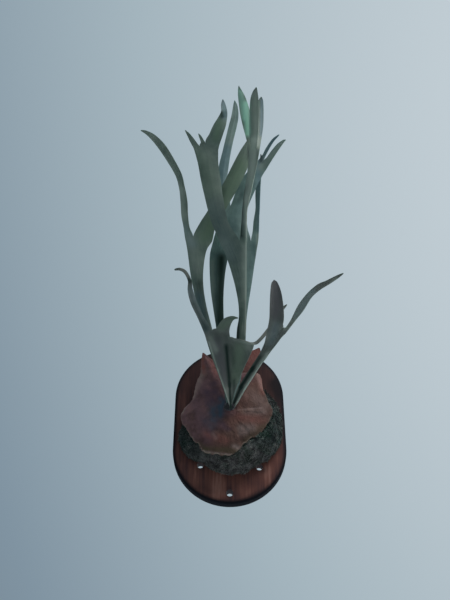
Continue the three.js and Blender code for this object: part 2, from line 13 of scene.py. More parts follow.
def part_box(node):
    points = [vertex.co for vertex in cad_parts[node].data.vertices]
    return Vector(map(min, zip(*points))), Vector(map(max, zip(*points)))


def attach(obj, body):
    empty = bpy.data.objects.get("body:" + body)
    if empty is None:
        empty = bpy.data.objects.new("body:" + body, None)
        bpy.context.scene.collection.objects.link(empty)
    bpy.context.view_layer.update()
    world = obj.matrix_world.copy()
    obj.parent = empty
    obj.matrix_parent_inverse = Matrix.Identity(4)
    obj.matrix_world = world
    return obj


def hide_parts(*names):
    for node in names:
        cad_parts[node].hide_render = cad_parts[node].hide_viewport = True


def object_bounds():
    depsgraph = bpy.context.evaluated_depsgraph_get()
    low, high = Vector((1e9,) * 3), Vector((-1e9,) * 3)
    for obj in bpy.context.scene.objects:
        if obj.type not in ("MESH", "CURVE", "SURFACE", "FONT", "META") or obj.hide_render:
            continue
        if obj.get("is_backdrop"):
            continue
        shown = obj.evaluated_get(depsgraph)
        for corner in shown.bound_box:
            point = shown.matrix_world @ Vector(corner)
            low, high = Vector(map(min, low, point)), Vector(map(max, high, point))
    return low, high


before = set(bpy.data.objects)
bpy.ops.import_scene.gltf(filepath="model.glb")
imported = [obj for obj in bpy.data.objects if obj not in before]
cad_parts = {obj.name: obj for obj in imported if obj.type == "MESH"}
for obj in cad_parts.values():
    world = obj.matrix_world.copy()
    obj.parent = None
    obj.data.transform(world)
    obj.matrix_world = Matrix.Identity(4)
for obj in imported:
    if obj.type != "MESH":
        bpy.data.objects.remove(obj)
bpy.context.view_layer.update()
MM = 0.001

# %% [markdown]
# The board's own box gives its width, height and thickness. The leaves are drawn on an upright
# front sheet of 450 by 600 steps, counted from its top left corner, as they are seen from one
# point in front of the plant and well below. `forward` is how far a point stands in front
# of the board's back face. This is the same sheet as the CAD model's, so the fine pieces land
# where the solids are. Above the board the fronds bow forwards, more and more towards the tips.

# %% Driving sizes and the front sheet
board_low, board_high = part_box("mounting_board")
BOARD_WIDTH = (board_high.x - board_low.x) / MM
BOARD_HEIGHT = (board_high.z - board_low.z) / MM
BOARD_THICK = (board_high.y - board_low.y) / MM
SHEET_MIDDLE = (225, 300)
SHEET_AIM = (229.5, 420.7)
STEP = 1.805
REACH = 1191
LEAN = math.radians(38)
FOCUS = REACH / STEP
BOW = 120
BOW_FROM = 400
BOW_TO = 86
AXIS = np.array([0, math.cos(LEAN), math.sin(LEAN)])
UPWARD = np.array([0, -math.sin(LEAN), math.cos(LEAN)])
EYE = (
    np.array([-(SHEET_AIM[0] - SHEET_MIDDLE[0]) * STEP, -BOARD_THICK, 0])
    - REACH * AXIS
    - (SHEET_MIDDLE[1] - SHEET_AIM[1]) * STEP * UPWARD
)


def place(x, y, forward):
    """A point of the front sheet, in mm, at a given distance in front of the board's back."""
    aside = np.array([(x - SHEET_MIDDLE[0]) / FOCUS, 0, 0])
    ray = AXIS + (SHEET_MIDDLE[1] - y) / FOCUS * UPWARD + aside
    bow = BOW * max(0, (BOW_FROM - y) / (BOW_FROM - BOW_TO)) ** 2
    return EYE + (-forward - bow - EYE[1]) / ray[1] * ray


def on_sheet(point):
    """Where a point in metres shows on the front sheet."""
    seen = np.array(point) / MM - EYE
    depth = seen @ AXIS
    return SHEET_MIDDLE[0] + FOCUS * seen[0] / depth, SHEET_MIDDLE[1] - FOCUS * (seen @ UPWARD) / depth


print("board, mm:", round(BOARD_WIDTH), round(BOARD_HEIGHT), round(BOARD_THICK))
print("viewing point, mm:", EYE.round(1))

# %% [markdown]
# A real leaf or board is never one even colour: it has creases, felted patches and stains in
# places of its own. They could be painted on a picture, but a picture can't be used here, so
# they are soft strokes on the sheet, each (x0, y0, x1, y1, width, amount), whose sum is stored
# on the mesh for the material to read. Some strokes are painted shade, painted shadow or a
# painted highlight, where light falls on the real thing.

# %% Soft strokes
def strokes(x, y, marks):
    """How strongly a list of strokes tells at a place on the sheet."""
    told = 0
    for x0, y0, x1, y1, width, amount in marks:
        length = (x1 - x0) ** 2 + (y1 - y0) ** 2
        t = max(0.0, min(1.0, ((x - x0) * (x1 - x0) + (y - y0) * (y1 - y0)) / length))
        away = math.hypot(x - x0 - t * (x1 - x0), y - y0 - t * (y1 - y0))
        told += amount * math.exp(-(away / width) ** 2)
    return told


print("a stroke's own middle tells", strokes(5, 0, [(0, 0, 10, 0, 2, 1.0)]))

# %% [markdown]
# Colours are written as sRGB hex values, as a paint chart gives them, and turned to linear
# light once. One function adds a shader or geometry node, sets it and links it, and gives the
# output that the next node needs. A colour ramp's `stops` are (position, hex colour). Sockets
# that share a name are called by their number. A Map Range node has its value at 0, the range
# that it reads at 1 and 2, and the range that it gives at 3 and 4. A Mix node has its share at
# 0, and its two colours at 6 and 7. A noise of scale 100 has waves of a hundredth of a metre.

# %% Colours, nodes and materials
def linear(hex_colour):
    """sRGB hex to linear RGBA."""
    channels = [int(hex_colour[i:i + 2], 16) / 255 for i in (1, 3, 5)]
    bent = [c / 12.92 if c <= 0.04045 else ((c + 0.055) / 1.055) ** 2.4 for c in channels]
    return (*bent, 1.0)


def add_node(tree, kind, inputs=None, give=0, stops=(), **settings):
    """Adds a node, sets it, sets or links its inputs, and gives one of its outputs."""
    node = tree.nodes.new(kind)
    for key, value in settings.items():
        setattr(node, key, value)
    while stops and len(node.color_ramp.elements) < len(stops):
        node.color_ramp.elements.new(0.5)
    for element, (position, colour) in zip(node.color_ramp.elements if stops else (), stops):
        element.position = position
        element.color = linear(colour)
    for key, value in (inputs or {}).items():
        if isinstance(value, bpy.types.NodeSocket):
            tree.links.new(value, node.inputs[key])
        elif isinstance(value, str) and value.startswith("#"):
            node.inputs[key].default_value = linear(value)
        else:
            node.inputs[key].default_value = value
    return node.outputs[give] if len(node.outputs) else None


def new_material(name, values):
    """A Principled material with its own even values, and its tree and shader."""
    material = bpy.data.materials.new(name)
    material.use_nodes = True
    shader = material.node_tree.nodes["Principled BSDF"]
    for key, value in values.items():
        shader.inputs[key].default_value = linear(value) if isinstance(value, str) else value
    return material, material.node_tree, shader


print("helpers ready, middle grey is", round(linear("#808080")[0], 3))

# %% [markdown]
# The board is stained softwood, sawn with the grain upright. Pine shows wide light and dark
# bands, 4 to 15 mm apart, with fine pores between them, and a red-brown stain takes deeper in
# the soft bands. The rim is end grain for the most part, so it drinks more stain and turns
# nearly black, and its near black is partly painted shade as well. Noise stretched along Z
# gives flames, bands and pores at their real spacing, because a picture of wood can't be used
# here. The stored value `warm` gives its lighter streaks; `deep` is painted shade, darker
# towards the top where the plant shades it and partly darker stain there, with painted shadow
# strokes; and `rim` darkens the edge.

# %% Stained softwood
wood, tree, shader = new_material("Stained softwood, satin varnish", {
    "Roughness": 0.5, "IOR": 1.45, "Specular IOR Level": 0.22,
})
spot = add_node(tree, "ShaderNodeTexCoord", give="Object")
told = {
    key: add_node(tree, "ShaderNodeAttribute", give="Fac", attribute_name=key)
    for key in ("warm", "deep", "rim")
}
tone = -0.025
# Bands 5 mm wide, flames of 26 mm and pores of 1.4 mm, each drawn out along the grain.
for scale, detail, rough, squash, share in (
    (210, 3.0, 0.6, 0.05, 0.5), (38, 2.0, 0.55, 0.22, 0.5), (700, 2.0, 0.55, 0.03, 0.08),
):
    where = add_node(tree, "ShaderNodeMapping", {"Vector": spot, "Scale": (1, 1, squash)})
    grain = add_node(tree, "ShaderNodeTexNoise",
                     {"Vector": where, "Scale": scale, "Detail": detail, "Roughness": rough})
    tone = add_node(tree, "ShaderNodeMath", {0: grain, 1: share, 2: tone}, operation="MULTIPLY_ADD")
tone = add_node(tree, "ShaderNodeMath", {0: told["warm"], 1: 0.15, 2: tone}, operation="MULTIPLY_ADD")
stained = add_node(tree, "ShaderNodeValToRGB", {0: tone}, stops=[
    (0.38, "#4a302f"), (0.46, "#5c3a34"), (0.54, "#6b4238"), (0.62, "#7b4d40"), (0.72, "#936455"),
])
# The deep value is painted shade and shadow, partly darker stain towards the top. The rim value paints the
# end grain near black, partly stain and partly painted shade, and the hole walls near black as painted
# shade.
for key, tint in (("deep", "#241718"), ("rim", "#0d0c12")):
    stained = add_node(tree, "ShaderNodeMix", {0: told[key], 6: stained, 7: tint}, 2, data_type="RGBA")
dull = add_node(tree, "ShaderNodeMapRange", {0: told["rim"], 3: 0.48, 4: 0.85})
relief = add_node(tree, "ShaderNodeBump", {"Height": tone, "Distance": 0.0005, "Strength": 0.4})
for key, socket in (("Base Color", stained), ("Roughness", dull), ("Normal", relief)):
    tree.links.new(socket, shader.inputs[key])

print("made", wood.name)

# %% [markdown]
# A green frond is leathery, with a felt of pale star-shaped hairs. The felt makes it matt and
# silvery where it is seen at a slant, which sheen gives. Light passes through the thin blade,
# which subsurface light gives on a closed thin slab. Faint veins run lengthwise, 2 to 3 mm
# apart, over soft patches of 30 mm. The stored value `across` runs over the blade and `along`
# is the distance from the foot in metres, so the veins follow every bend. The tints are stored
# too: the dark upper side where a blade folds, together with painted shade in its folds and
# creases; its pale felted rim, with a painted highlight where an edge catches the light; a
# lighter young green, with a painted glow of light shining through the tip; and `tip`, a dry end.

# %% Felted fern leaf
# Painted light among the tints: the upper side's tint also paints shade in folds and creases, the felt's
# tint a highlight where an edge catches the light, and the fresh green a glow of light shining through the
# tip.
LEAF_TINTS = {"dusk": "#5c5857", "olive": "#75896a", "cool": "#6d8288", "backlit_young_green": "#a9d4b9",
              "felt_and_highlight": "#b0b4a2", "upper_side_and_shade": "#13281e"}


def leaf_material(name, deep, mid, pale):
    """The leaf's finish, with three colours of its own below the tints."""
    material, tree, shader = new_material(name, {
        "Roughness": 0.6, "IOR": 1.42, "Specular IOR Level": 0.22, "Subsurface Weight": 0.3,
        "Subsurface Radius": (0.7, 1.0, 0.8), "Subsurface Scale": 0.002, "Sheen Weight": 0.18,
        "Sheen Roughness": 0.5, "Sheen Tint": "#b7c4c0",
    })
    spot = add_node(tree, "ShaderNodeTexCoord", give="Object")
    told = {
        key: add_node(tree, "ShaderNodeAttribute", give="Fac", attribute_name=key)
        for key in ("across", "along", *LEAF_TINTS, "tip")
    }
    blade = add_node(tree, "ShaderNodeCombineXYZ", {0: told["across"], 1: told["along"]})
    blade = add_node(tree, "ShaderNodeMapping", {"Vector": blade, "Scale": (9, 14, 1)})
    blend = 0.0
    for where, scale, share in ((blade, 1.6, 0.4), (spot, 34, 0.6)):
        patches = add_node(tree, "ShaderNodeTexNoise",
                           {"Vector": where, "Scale": scale, "Detail": 4.0, "Roughness": 0.6})
        blend = add_node(tree, "ShaderNodeMath", {0: patches, 1: share, 2: blend},
                         operation="MULTIPLY_ADD")
    colour = add_node(tree, "ShaderNodeValToRGB", {0: blend}, stops=[(0.36, deep), (0.5, mid), (0.66, pale)])
    for key, tint in (*LEAF_TINTS.items(), ("tip", "#3a3a38")):
        colour = add_node(tree, "ShaderNodeMix", {0: told[key], 6: colour, 7: tint}, 2, data_type="RGBA")
    relief = add_node(tree, "ShaderNodeBump", {"Height": blend, "Distance": 0.0006, "Strength": 0.35})
    tree.links.new(colour, shader.inputs["Base Color"])
    tree.links.new(relief, shader.inputs["Normal"])
    return material


felted = leaf_material("Fern leaf, felted grey-green", "#5f6a5e", "#707b6d", "#858e7e")
dusky = leaf_material("Fern leaf, dusky", "#5e6057", "#6f7066", "#818175")
teal = leaf_material("Fern leaf, blue-green", "#627670", "#768b82", "#8a9d93")

print("made", felted.name, "and its two neighbours")

# %% [markdown]
# The shield frond has died, and dried to a brown paper. It is smooth between raised veins that
# fork outwards from the bud in a net about 6 mm wide. Its left side is a dull purple-brown,
# its lower right lighter and olive, its tips orange-pink, and its torn edge pale. The stored
# value `side` runs from left to right, and the tints are strokes. Voronoi cells, drawn out
# upwards, draw the net, and noise of 24 and 8 mm stains it.

# %% Dried papery frond
dry, tree, shader = new_material("Dried fern frond, papery", {
    "Roughness": 0.8, "IOR": 1.4, "Specular IOR Level": 0.2,
})
spot = add_node(tree, "ShaderNodeTexCoord", give="Object")
stain, small = (
    add_node(tree, "ShaderNodeTexNoise",
             {"Vector": spot, "Scale": scale, "Detail": detail, "Roughness": rough})
    for scale, detail, rough in ((42, 5.0, 0.65), (120, 4.0, 0.6))
)
side = add_node(tree, "ShaderNodeAttribute", give="Fac", attribute_name="side")
base = add_node(tree, "ShaderNodeValToRGB", {0: side}, stops=[
    (0.0, "#7e5b59"), (0.42, "#67494a"), (0.68, "#67473d"), (1.0, "#553e35"),
])
for spread, low, high, most, tint in (
    (stain, 0.46, 0.64, "#c8c8c8", "#46302c"), (small, 0.5, 0.72, "#9a9a9a", "#8e6b5a"),
):
    amount = add_node(tree, "ShaderNodeValToRGB", {0: spread}, stops=[(low, "#000000"), (high, most)])
    base = add_node(tree, "ShaderNodeMix", {0: amount, 6: base, 7: tint}, 2, data_type="RGBA")
# The bluish tint in the hollow beside the bud is painted shade.
for key, tint in (("violet", "#5c464e"), ("olive", "#574936"), ("pale", "#9d8277"),
                  ("rose", "#94594e"), ("hollow_shade", "#4b5560"), ("rim", "#a8937f")):
    amount = add_node(tree, "ShaderNodeAttribute", give="Fac", attribute_name=key)
    base = add_node(tree, "ShaderNodeMix", {0: amount, 6: base, 7: tint}, 2, data_type="RGBA")
where = add_node(tree, "ShaderNodeMapping", {"Vector": spot, "Scale": (1, 1, 0.6)})
cells = add_node(tree, "ShaderNodeTexVoronoi", {"Vector": where, "Scale": 150.0},
                 feature="DISTANCE_TO_EDGE")
net = add_node(tree, "ShaderNodeMapRange", {0: cells, 1: 0.0, 2: 0.16, 3: 1.0, 4: 0.0})
height = add_node(tree, "ShaderNodeMath", {0: small, 1: 0.8, 2: net}, operation="MULTIPLY_ADD")
relief = add_node(tree, "ShaderNodeBump", {"Height": height, "Distance": 0.0007, "Strength": 0.5})
tree.links.new(base, shader.inputs["Base Color"])
tree.links.new(relief, shader.inputs["Normal"])

print("made", dry.name)

# %% [markdown]
# The root ball is clothed in moss: nearly black-green in its depths, with grey-green tips that
# catch the light. The mound and its tufts share one material. Its colour follows noise of
# 10 mm, dry clumps of 25, pale specks of 4 and green glades of 16, and a stored `tip` value
# that runs up each tuft. The mound is shaded at the left and right, browner above, and dry,
# pale and a little brown at its foot, which Object coordinates give. The bud's fur is a dull
# dark brown, in patches of 3 mm.

# %% Cushion moss
moss, tree, shader = new_material("Cushion moss, damp", {
    "Roughness": 0.9, "IOR": 1.35, "Sheen Weight": 0.2,
})
spot = add_node(tree, "ShaderNodeTexCoord", give="Object")
patch, clump, speck, glade = (
    add_node(tree, "ShaderNodeTexNoise",
             {"Vector": spot, "Scale": scale, "Detail": detail, "Roughness": rough})
    for scale, detail, rough in ((105, 5.0, 0.8), (40, 3.0, 0.55), (260, 1.0, 0.55), (62, 2.0, 0.55))
)
shade, bright, dried, foot = (
    add_node(tree, "ShaderNodeValToRGB", {0: patch}, stops=stops)
    for stops in (
        [(0.41, "#0c1311"), (0.5, "#27322c"), (0.6, "#485249"), (0.68, "#666a60")],
        [(0.41, "#15221b"), (0.5, "#465b49"), (0.57, "#7c8574"), (0.66, "#cec9bb")],
        [(0.41, "#332f2a"), (0.51, "#7b756b"), (0.64, "#d6ccbd")],
        [(0.38, "#35302e"), (0.66, "#978d86")],
    )
)
clump, speck, glade = (
    add_node(tree, "ShaderNodeValToRGB", {0: spread}, stops=[(low, "#000000"), (high, most)])
    for spread, low, high, most in (
        (clump, 0.45, 0.6, "#ffffff"), (speck, 0.58, 0.66, "#d0d0d0"), (glade, 0.5, 0.6, "#a0a0a0"),
    )
)
left, right, low, sole, high = (
    add_node(tree, "ShaderNodeMapRange",
             {0: add_node(tree, "ShaderNodeSeparateXYZ", {0: spot}, axis), 1: start, 2: end, 4: most})
    for axis, start, end, most in (
        ("X", -0.027, -0.054, 0.55), ("X", 0.045, 0.075, 0.3),
        ("Z", -0.05, -0.08, 0.75), ("Z", -0.06, -0.085, 0.35), ("Z", 0.0, 0.06, 0.8),
    )
)
shade = add_node(tree, "ShaderNodeMix", {0: low, 6: shade, 7: foot}, 2, data_type="RGBA")
for amount, tint in ((speck, "#c4c2b4"), (clump, dried), (low, dried)):
    bright = add_node(tree, "ShaderNodeMix", {0: amount, 6: bright, 7: tint}, 2, data_type="RGBA")
tip = add_node(tree, "ShaderNodeAttribute", give="Fac", attribute_name="tip")
colour = shade
for amount, tint in ((tip, bright), (glade, "#1c4a2f"), (left, "#17251f"), (right, "#17251f"),
                     (sole, "#40312a"), (high, "#2b2523")):
    colour = add_node(tree, "ShaderNodeMix", {0: amount, 6: colour, 7: tint}, 2, data_type="RGBA")
tree.links.new(colour, shader.inputs["Base Color"])
print("made", moss.name)

# %% Crown fur
fur, tree, shader = new_material("Fern crown scales, brown", {
    "Roughness": 0.85, "IOR": 1.4, "Sheen Weight": 0.3,
})
spot = add_node(tree, "ShaderNodeTexCoord", give="Object")
patch = add_node(tree, "ShaderNodeTexNoise",
                 {"Vector": spot, "Scale": 300, "Detail": 3.0, "Roughness": 0.55})
colour = add_node(tree, "ShaderNodeValToRGB", {0: patch}, stops=[(0.4, "#151314"), (0.6, "#2f2a28")])
tree.links.new(colour, shader.inputs["Base Color"])
print("made", fur.name)

# %% [markdown]
# Meshes are made from plain lists of points in mm. One function turns them into an object with
# its stored values, smooth faces, and a sharp edge wherever two faces meet steeply. Two more
# put an object in the scene and seat a finished piece on the frame.

# %% Mesh helpers
def put(name, data):
    """An object for a mesh, a light or a camera, put in the scene."""
    thing = bpy.data.objects.new(name, data)
    bpy.context.scene.collection.objects.link(thing)
    return thing


def make_piece(name, points, faces, material, stored, steep=50):
    """An object from points in mm, with values stored at its points."""
    mesh = bpy.data.meshes.new(name)
    mesh.from_pydata([tuple(p) for p in np.asarray(points) * MM], [], faces)
    for key, values in stored.items():
        layer = mesh.attributes.new(key, "FLOAT", "POINT")
        layer.data.foreach_set("value", np.asarray(values, dtype=np.float32))
    mesh.shade_smooth()
    mesh.set_sharp_from_angle(angle=math.radians(steep))
    mesh.materials.append(material)
    return put(name, mesh)


def seat(piece, slot, *nodes):
    """The finished piece rides on the frame and stands for its CAD nodes; `slot` is not used."""
    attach(piece, "root")
    if nodes:
        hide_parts(*nodes)
    triangles = sum(len(face.vertices) - 2 for face in piece.data.polygons)
    print(piece.name, "has", triangles, "triangles")


print("mesh helpers ready")

# %% [markdown]
# The board is a stadium, 200 by 305 mm, with a rounded front rim. A bevel modifier could round
# it, but rings of points from the back face round to the front keep the rim's curve exact, and
# the rings on the front face carry its streaks, its darker stain and its painted shade. A ring
# is its depth, which is negative towards the front, and how far it is moved in from the outline.

# %% The board's rings
ARC = 64
ROUND_DEEP = 4.2
ROUND_WIDE = 4.4
RIM_TURNS = 8


def stadium(inset):
    """Points of the outline, moved in by `inset` mm."""
    radius = BOARD_WIDTH / 2 - inset
    straight = (BOARD_HEIGHT - BOARD_WIDTH) / 2
    loop = []
    for half, lift in ((0, straight), (math.pi, -straight)):
        for i in range(ARC + 1):
            angle = half + math.pi * i / ARC
            loop.append((radius * math.cos(angle), lift + radius * math.sin(angle)))
    return loop


rings = [(0.0, 40.0), (0.0, 1.5), (-0.4, 0.4), (-1.5, 0.0), (-BOARD_THICK + ROUND_DEEP, 0.0)]
for step in range(1, RIM_TURNS + 1):
    turn = math.pi / 2 * step / RIM_TURNS
    depth = -BOARD_THICK + ROUND_DEEP - ROUND_DEEP * math.sin(turn)
    rings.append((depth, ROUND_WIDE * (1 - math.cos(turn))))
rings.append((-BOARD_THICK, 7.5))
rings += [(-BOARD_THICK, float(inset)) for inset in range(11, 99, 4)]
print("board rings:", len(rings))

# %% The board's body
# Painted shadow strokes: round the three tie holes, beside the shield and moss, and along the lower edge.
painted_shadow_marks = [
    (276, 384, 285, 415, 7, 0.5), (244, 500, 262, 492, 3, 0.4), (200, 487, 210, 492, 4, 0.35),
    (198, 463, 202, 467, 3.5, 0.6), (258, 466, 263, 470, 3.5, 0.6), (229, 488, 231, 492, 2.5, 0.4),
    (180, 440, 181, 460, 3, 0.4),
]
warm_marks = [
    (214, 470, 214, 499, 5, 0.8), (223, 474, 223, 497, 2.5, 0.5), (244, 497, 254, 489, 3.5, 0.6),
    (266, 468, 269, 484, 3.5, 0.7), (184, 402, 186, 382, 3, 0.5), (240, 476, 241, 490, 4, 0.35),
    (192, 466, 196, 484, 3, 0.3), (279, 384, 283, 396, 2, 0.4), (186, 376, 190, 386, 2.5, 0.4),
    (236, 474, 238, 490, 6, 0.55), (220, 476, 223, 493, 3.5, 0.8), (231, 476, 232, 488, 3, 0.7),
    (271, 472, 276, 458, 3.5, 0.8), (268, 370, 275, 384, 4, 0.6), (180, 396, 181, 408, 3, 0.5),
]
TOP_SHADE_AND_STAIN_MOST = 0.66
TOP_SHADE_AND_STAIN_FROM = -60
TOP_SHADE_AND_STAIN_OVER = 130
RIM_DARK = 6
board_points = []
board_stored = {"rim": [], "deep": [], "warm": []}
for depth, inset in rings:
    for x, z in stadium(inset):
        board_points.append((x, depth, z))
        values = (0.0, 0.0, 0.0)
        if depth <= -0.1:
            seen = on_sheet(np.array([x, depth, z]) * MM)
            # Painted shade: the board darkens towards the top, where the plant shades it, partly darker
            # stain too, and the strokes add painted shadow. The rim value darkens the end grain, partly
            # stain and partly painted shade.
            higher = max(0.0, min(1.0, (z - TOP_SHADE_AND_STAIN_FROM) / TOP_SHADE_AND_STAIN_OVER))
            shade = TOP_SHADE_AND_STAIN_MOST * higher + strokes(*seen, painted_shadow_marks)
            values = (max(0.0, min(1.0, 1.35 - inset / RIM_DARK)), min(1.0, shade),
                      min(1.0, strokes(*seen, warm_marks)))
        for key, value in zip(board_stored, values):
            board_stored[key].append(value)
size = 2 * (ARC + 1)
board_faces = []
for level in range(len(rings) - 1):
    for i in range(size):
        a = level * size + i
        b = level * size + (i + 1) % size
        board_faces.append((a, b, b + size, a + size))
front = (len(rings) - 1) * size
board_faces += [tuple(reversed(range(size))), tuple(range(front, front + size))]
board = make_piece("stained_board", board_points, board_faces, wood, board_stored, 35)
print("board points:", len(board_points))

# %% [markdown]
# Three tie holes are drilled right through, with walls painted near black as shade inside the
# holes. A boolean modifier for each would do, but because the same hole repeats, a Geometry
# Nodes tree sets a drill on each listed point and cuts all of them at once. The tree is run
# once, and its result is kept as a mesh.

# %% Tree helpers
def new_tree(name, labels):
    """A Geometry Nodes tree with named inputs, and the sockets that give them."""
    tree = bpy.data.node_groups.new(name, "GeometryNodeTree")
    for label, kind in labels.items():
        tree.interface.new_socket(label, in_out="INPUT", socket_type="NodeSocket" + kind)
    tree.interface.new_socket("Geometry", in_out="OUTPUT", socket_type="NodeSocketGeometry")
    return tree, tree.nodes.new("NodeGroupInput").outputs


def run_tree(piece, tree, settings):
    """Runs a tree on a piece once, and keeps the result as its plain mesh."""
    modifier = piece.modifiers.new(tree.name, "NODES")
    modifier.node_group = tree
    sockets = {s.name: s.identifier for s in tree.interface.items_tree if s.in_out == "INPUT"}
    for key, value in settings.items():
        modifier[sockets[key]] = value
    bpy.context.view_layer.update()
    ready = piece.evaluated_get(bpy.context.evaluated_depsgraph_get())
    mesh = bpy.data.meshes.new_from_object(ready)
    piece.modifiers.clear()
    piece.data = mesh


print("tree helpers ready")

# %% Drill the tie holes
TIE_HOLE = 12
TIE_HOLES = [(-0.2, -134.6), (-50.8, -84.7), (51.1, -88.5)]
drill, given = new_tree("Drill holes", {
    "Geometry": "Geometry", "Drill sites": "Object", "Hole radius": "Float", "Finish": "Material",
})
sites = add_node(drill, "GeometryNodeObjectInfo", {"Object": given["Drill sites"]}, "Geometry")
bit = add_node(drill, "GeometryNodeMeshCylinder",
               {"Vertices": 40, "Depth": 0.1, "Radius": given["Hole radius"]}, "Mesh")
bit = add_node(drill, "GeometryNodeTransform", {"Geometry": bit, "Rotation": (math.pi / 2, 0, 0)})
bits = add_node(drill, "GeometryNodeInstanceOnPoints", {"Points": sites, "Instance": bit})
bits = add_node(drill, "GeometryNodeRealizeInstances", {0: bits})
# The drill bits carry rim 1, so the hole walls are painted near black: painted shade inside the holes.
shade_painted_bits = add_node(drill, "GeometryNodeStoreNamedAttribute",
                {"Geometry": bits, "Name": "rim", "Value": 1.0}, data_type="FLOAT", domain="POINT")
cut = add_node(drill, "GeometryNodeMeshBoolean", {"Mesh 1": given["Geometry"], "Mesh 2": shade_painted_bits},
               operation="DIFFERENCE", solver="EXACT")
whole = add_node(drill, "GeometryNodeRealizeInstances", {0: cut})
done = add_node(drill, "GeometryNodeSetMaterial", {"Geometry": whole, "Material": given["Finish"]})
add_node(drill, "NodeGroupOutput", {0: done})

spots = bpy.data.meshes.new("drill_sites")
spots.from_pydata([(x * MM, -BOARD_THICK / 2 * MM, z * MM) for x, z in TIE_HOLES], [], [])
spot_object = put("drill_sites", spots)
run_tree(board, drill, {"Drill sites": spot_object, "Hole radius": TIE_HOLE / 2 * MM, "Finish": wood})
bpy.data.objects.remove(spot_object)
board.data.set_sharp_from_angle(angle=math.radians(35))
seat(board, "board_wood", "mounting_board")

# %% [markdown]
# The shield frond is a dome of paper over the root ball. It could be sculpted, but it has to
# keep its solid's outline, so that outline is a closed loop on the front sheet, each point
# [x, y, forward], joined smoothly. Rings run from the bud out to that loop. The helpers here
# draw the curves, the soft steps and the noise, and give a bent sheet its thickness.

# %% Smooth curves through points
def through(values, at):
    """A smooth curve through listed values, read at a place between them."""
    values = np.asarray(values, dtype=float)
    last = len(values) - 1
    i = min(int(at), last - 1)
    f = at - i
    before = values[i - 1] if i > 0 else 2 * values[0] - values[1]
    after = values[i + 2] if i + 2 <= last else 2 * values[last] - values[last - 1]
    slope_in = (values[i + 1] - before) / 2
    slope_out = (after - values[i]) / 2
    f2 = f * f
    f3 = f2 * f
    return ((2 * f3 - 3 * f2 + 1) * values[i] + (f3 - 2 * f2 + f) * slope_in
            + (3 * f2 - 2 * f3) * values[i + 1] + (f3 - f2) * slope_out)


def smooth_loop(points, steps):
    """A closed loop through its listed points."""
    run = points[-2:] + points + points[:3]
    return [through(run, 2 + i / steps) for i in range(len(points) * steps)]


def soft(low, high, value):
    """0 below low, 1 above high, and smooth between."""
    t = min(1.0, max(0.0, (value - low) / (high - low)))
    return t * t * (3 - 2 * t)


def wobble(x, y, z, size):
    """Repeatable soft noise from about -1 to 1, with waves of `size` steps."""
    return noise.noise(Vector((x / size, y / size, z)))


print("curve helpers ready")

# %% Thickness for a bent sheet
def thicken(points, faces, thick):
    """A closed body from a bent sheet: both faces, and a band round the rim."""
    points = np.asarray(points, dtype=float)
    normals = np.zeros_like(points)
    for face in faces:
        a, b, c = (points[face[0]], points[face[1]], points[face[2]])
        normal = np.cross(b - a, c - a)
        if len(face) == 4:
            normal = np.cross(c - a, points[face[3]] - b)
        for i in face:
            normals[i] += normal
    normals /= np.maximum(np.linalg.norm(normals, axis=1), 1e-9)[:, None]
    half = normals * (np.asarray(thick)[:, None] / 2)
    count = len(points)
    closed = []
    open_edges = {}
    for face in faces:
        closed.append(tuple(face))
        closed.append(tuple(i + count for i in reversed(face)))
        for a, b in zip(face, face[1:] + face[:1]):
            if (b, a) in open_edges:
                del open_edges[(b, a)]
            else:
                open_edges[(a, b)] = True
    for a, b in open_edges:
        closed.append((b, a, a + count, b + count))
    return np.concatenate([points + half, points - half]), closed


print("thickness helper ready")

# %% [markdown]
# The dome's height falls off to the rim, and relief is added on top: ribs that run out from
# the bud, soft dents, a fold on the right where a newer layer ends, a hollow beside the bud,
# and a torn, waved rim. The strokes are its stains, and the painted shade in that hollow, and
# noise breaks them up.

# %% The front shield frond's outline and stains
shield_edge = [
    [231, 372, 54], [222, 366, 52], [212, 359, 50], [203.5, 352.8, 46], [201.3, 358, 44.5],
    [200.6, 366, 43], [200, 374, 42.5], [197, 379.5, 42], [194.6, 388, 41], [193.3, 395, 41],
    [190.6, 401.5, 40], [184.2, 408, 37], [180.3, 415, 36], [181.4, 423.3, 38], [186, 429, 41],
    [188.8, 435, 42.5], [193.6, 442.4, 47], [197.6, 445, 49], [199.4, 449.5, 51], [204, 454.3, 52.5],
    [214, 456, 56], [229, 457, 57.5], [235.7, 453.6, 58.3], [240.8, 450.2, 58], [242.8, 446, 58],
    [247.3, 443.4, 58], [251, 439, 58.5], [257, 436.6, 57], [262.3, 431.8, 55.5], [267.3, 425, 53.5],
    [271.3, 418.3, 50.5], [273.2, 410, 48.5], [269.6, 403.4, 50.5], [267, 396.8, 51.5],
    [263.6, 388.3, 52.2], [261.9, 380, 53], [259, 373.2, 54], [246, 372, 54],
]
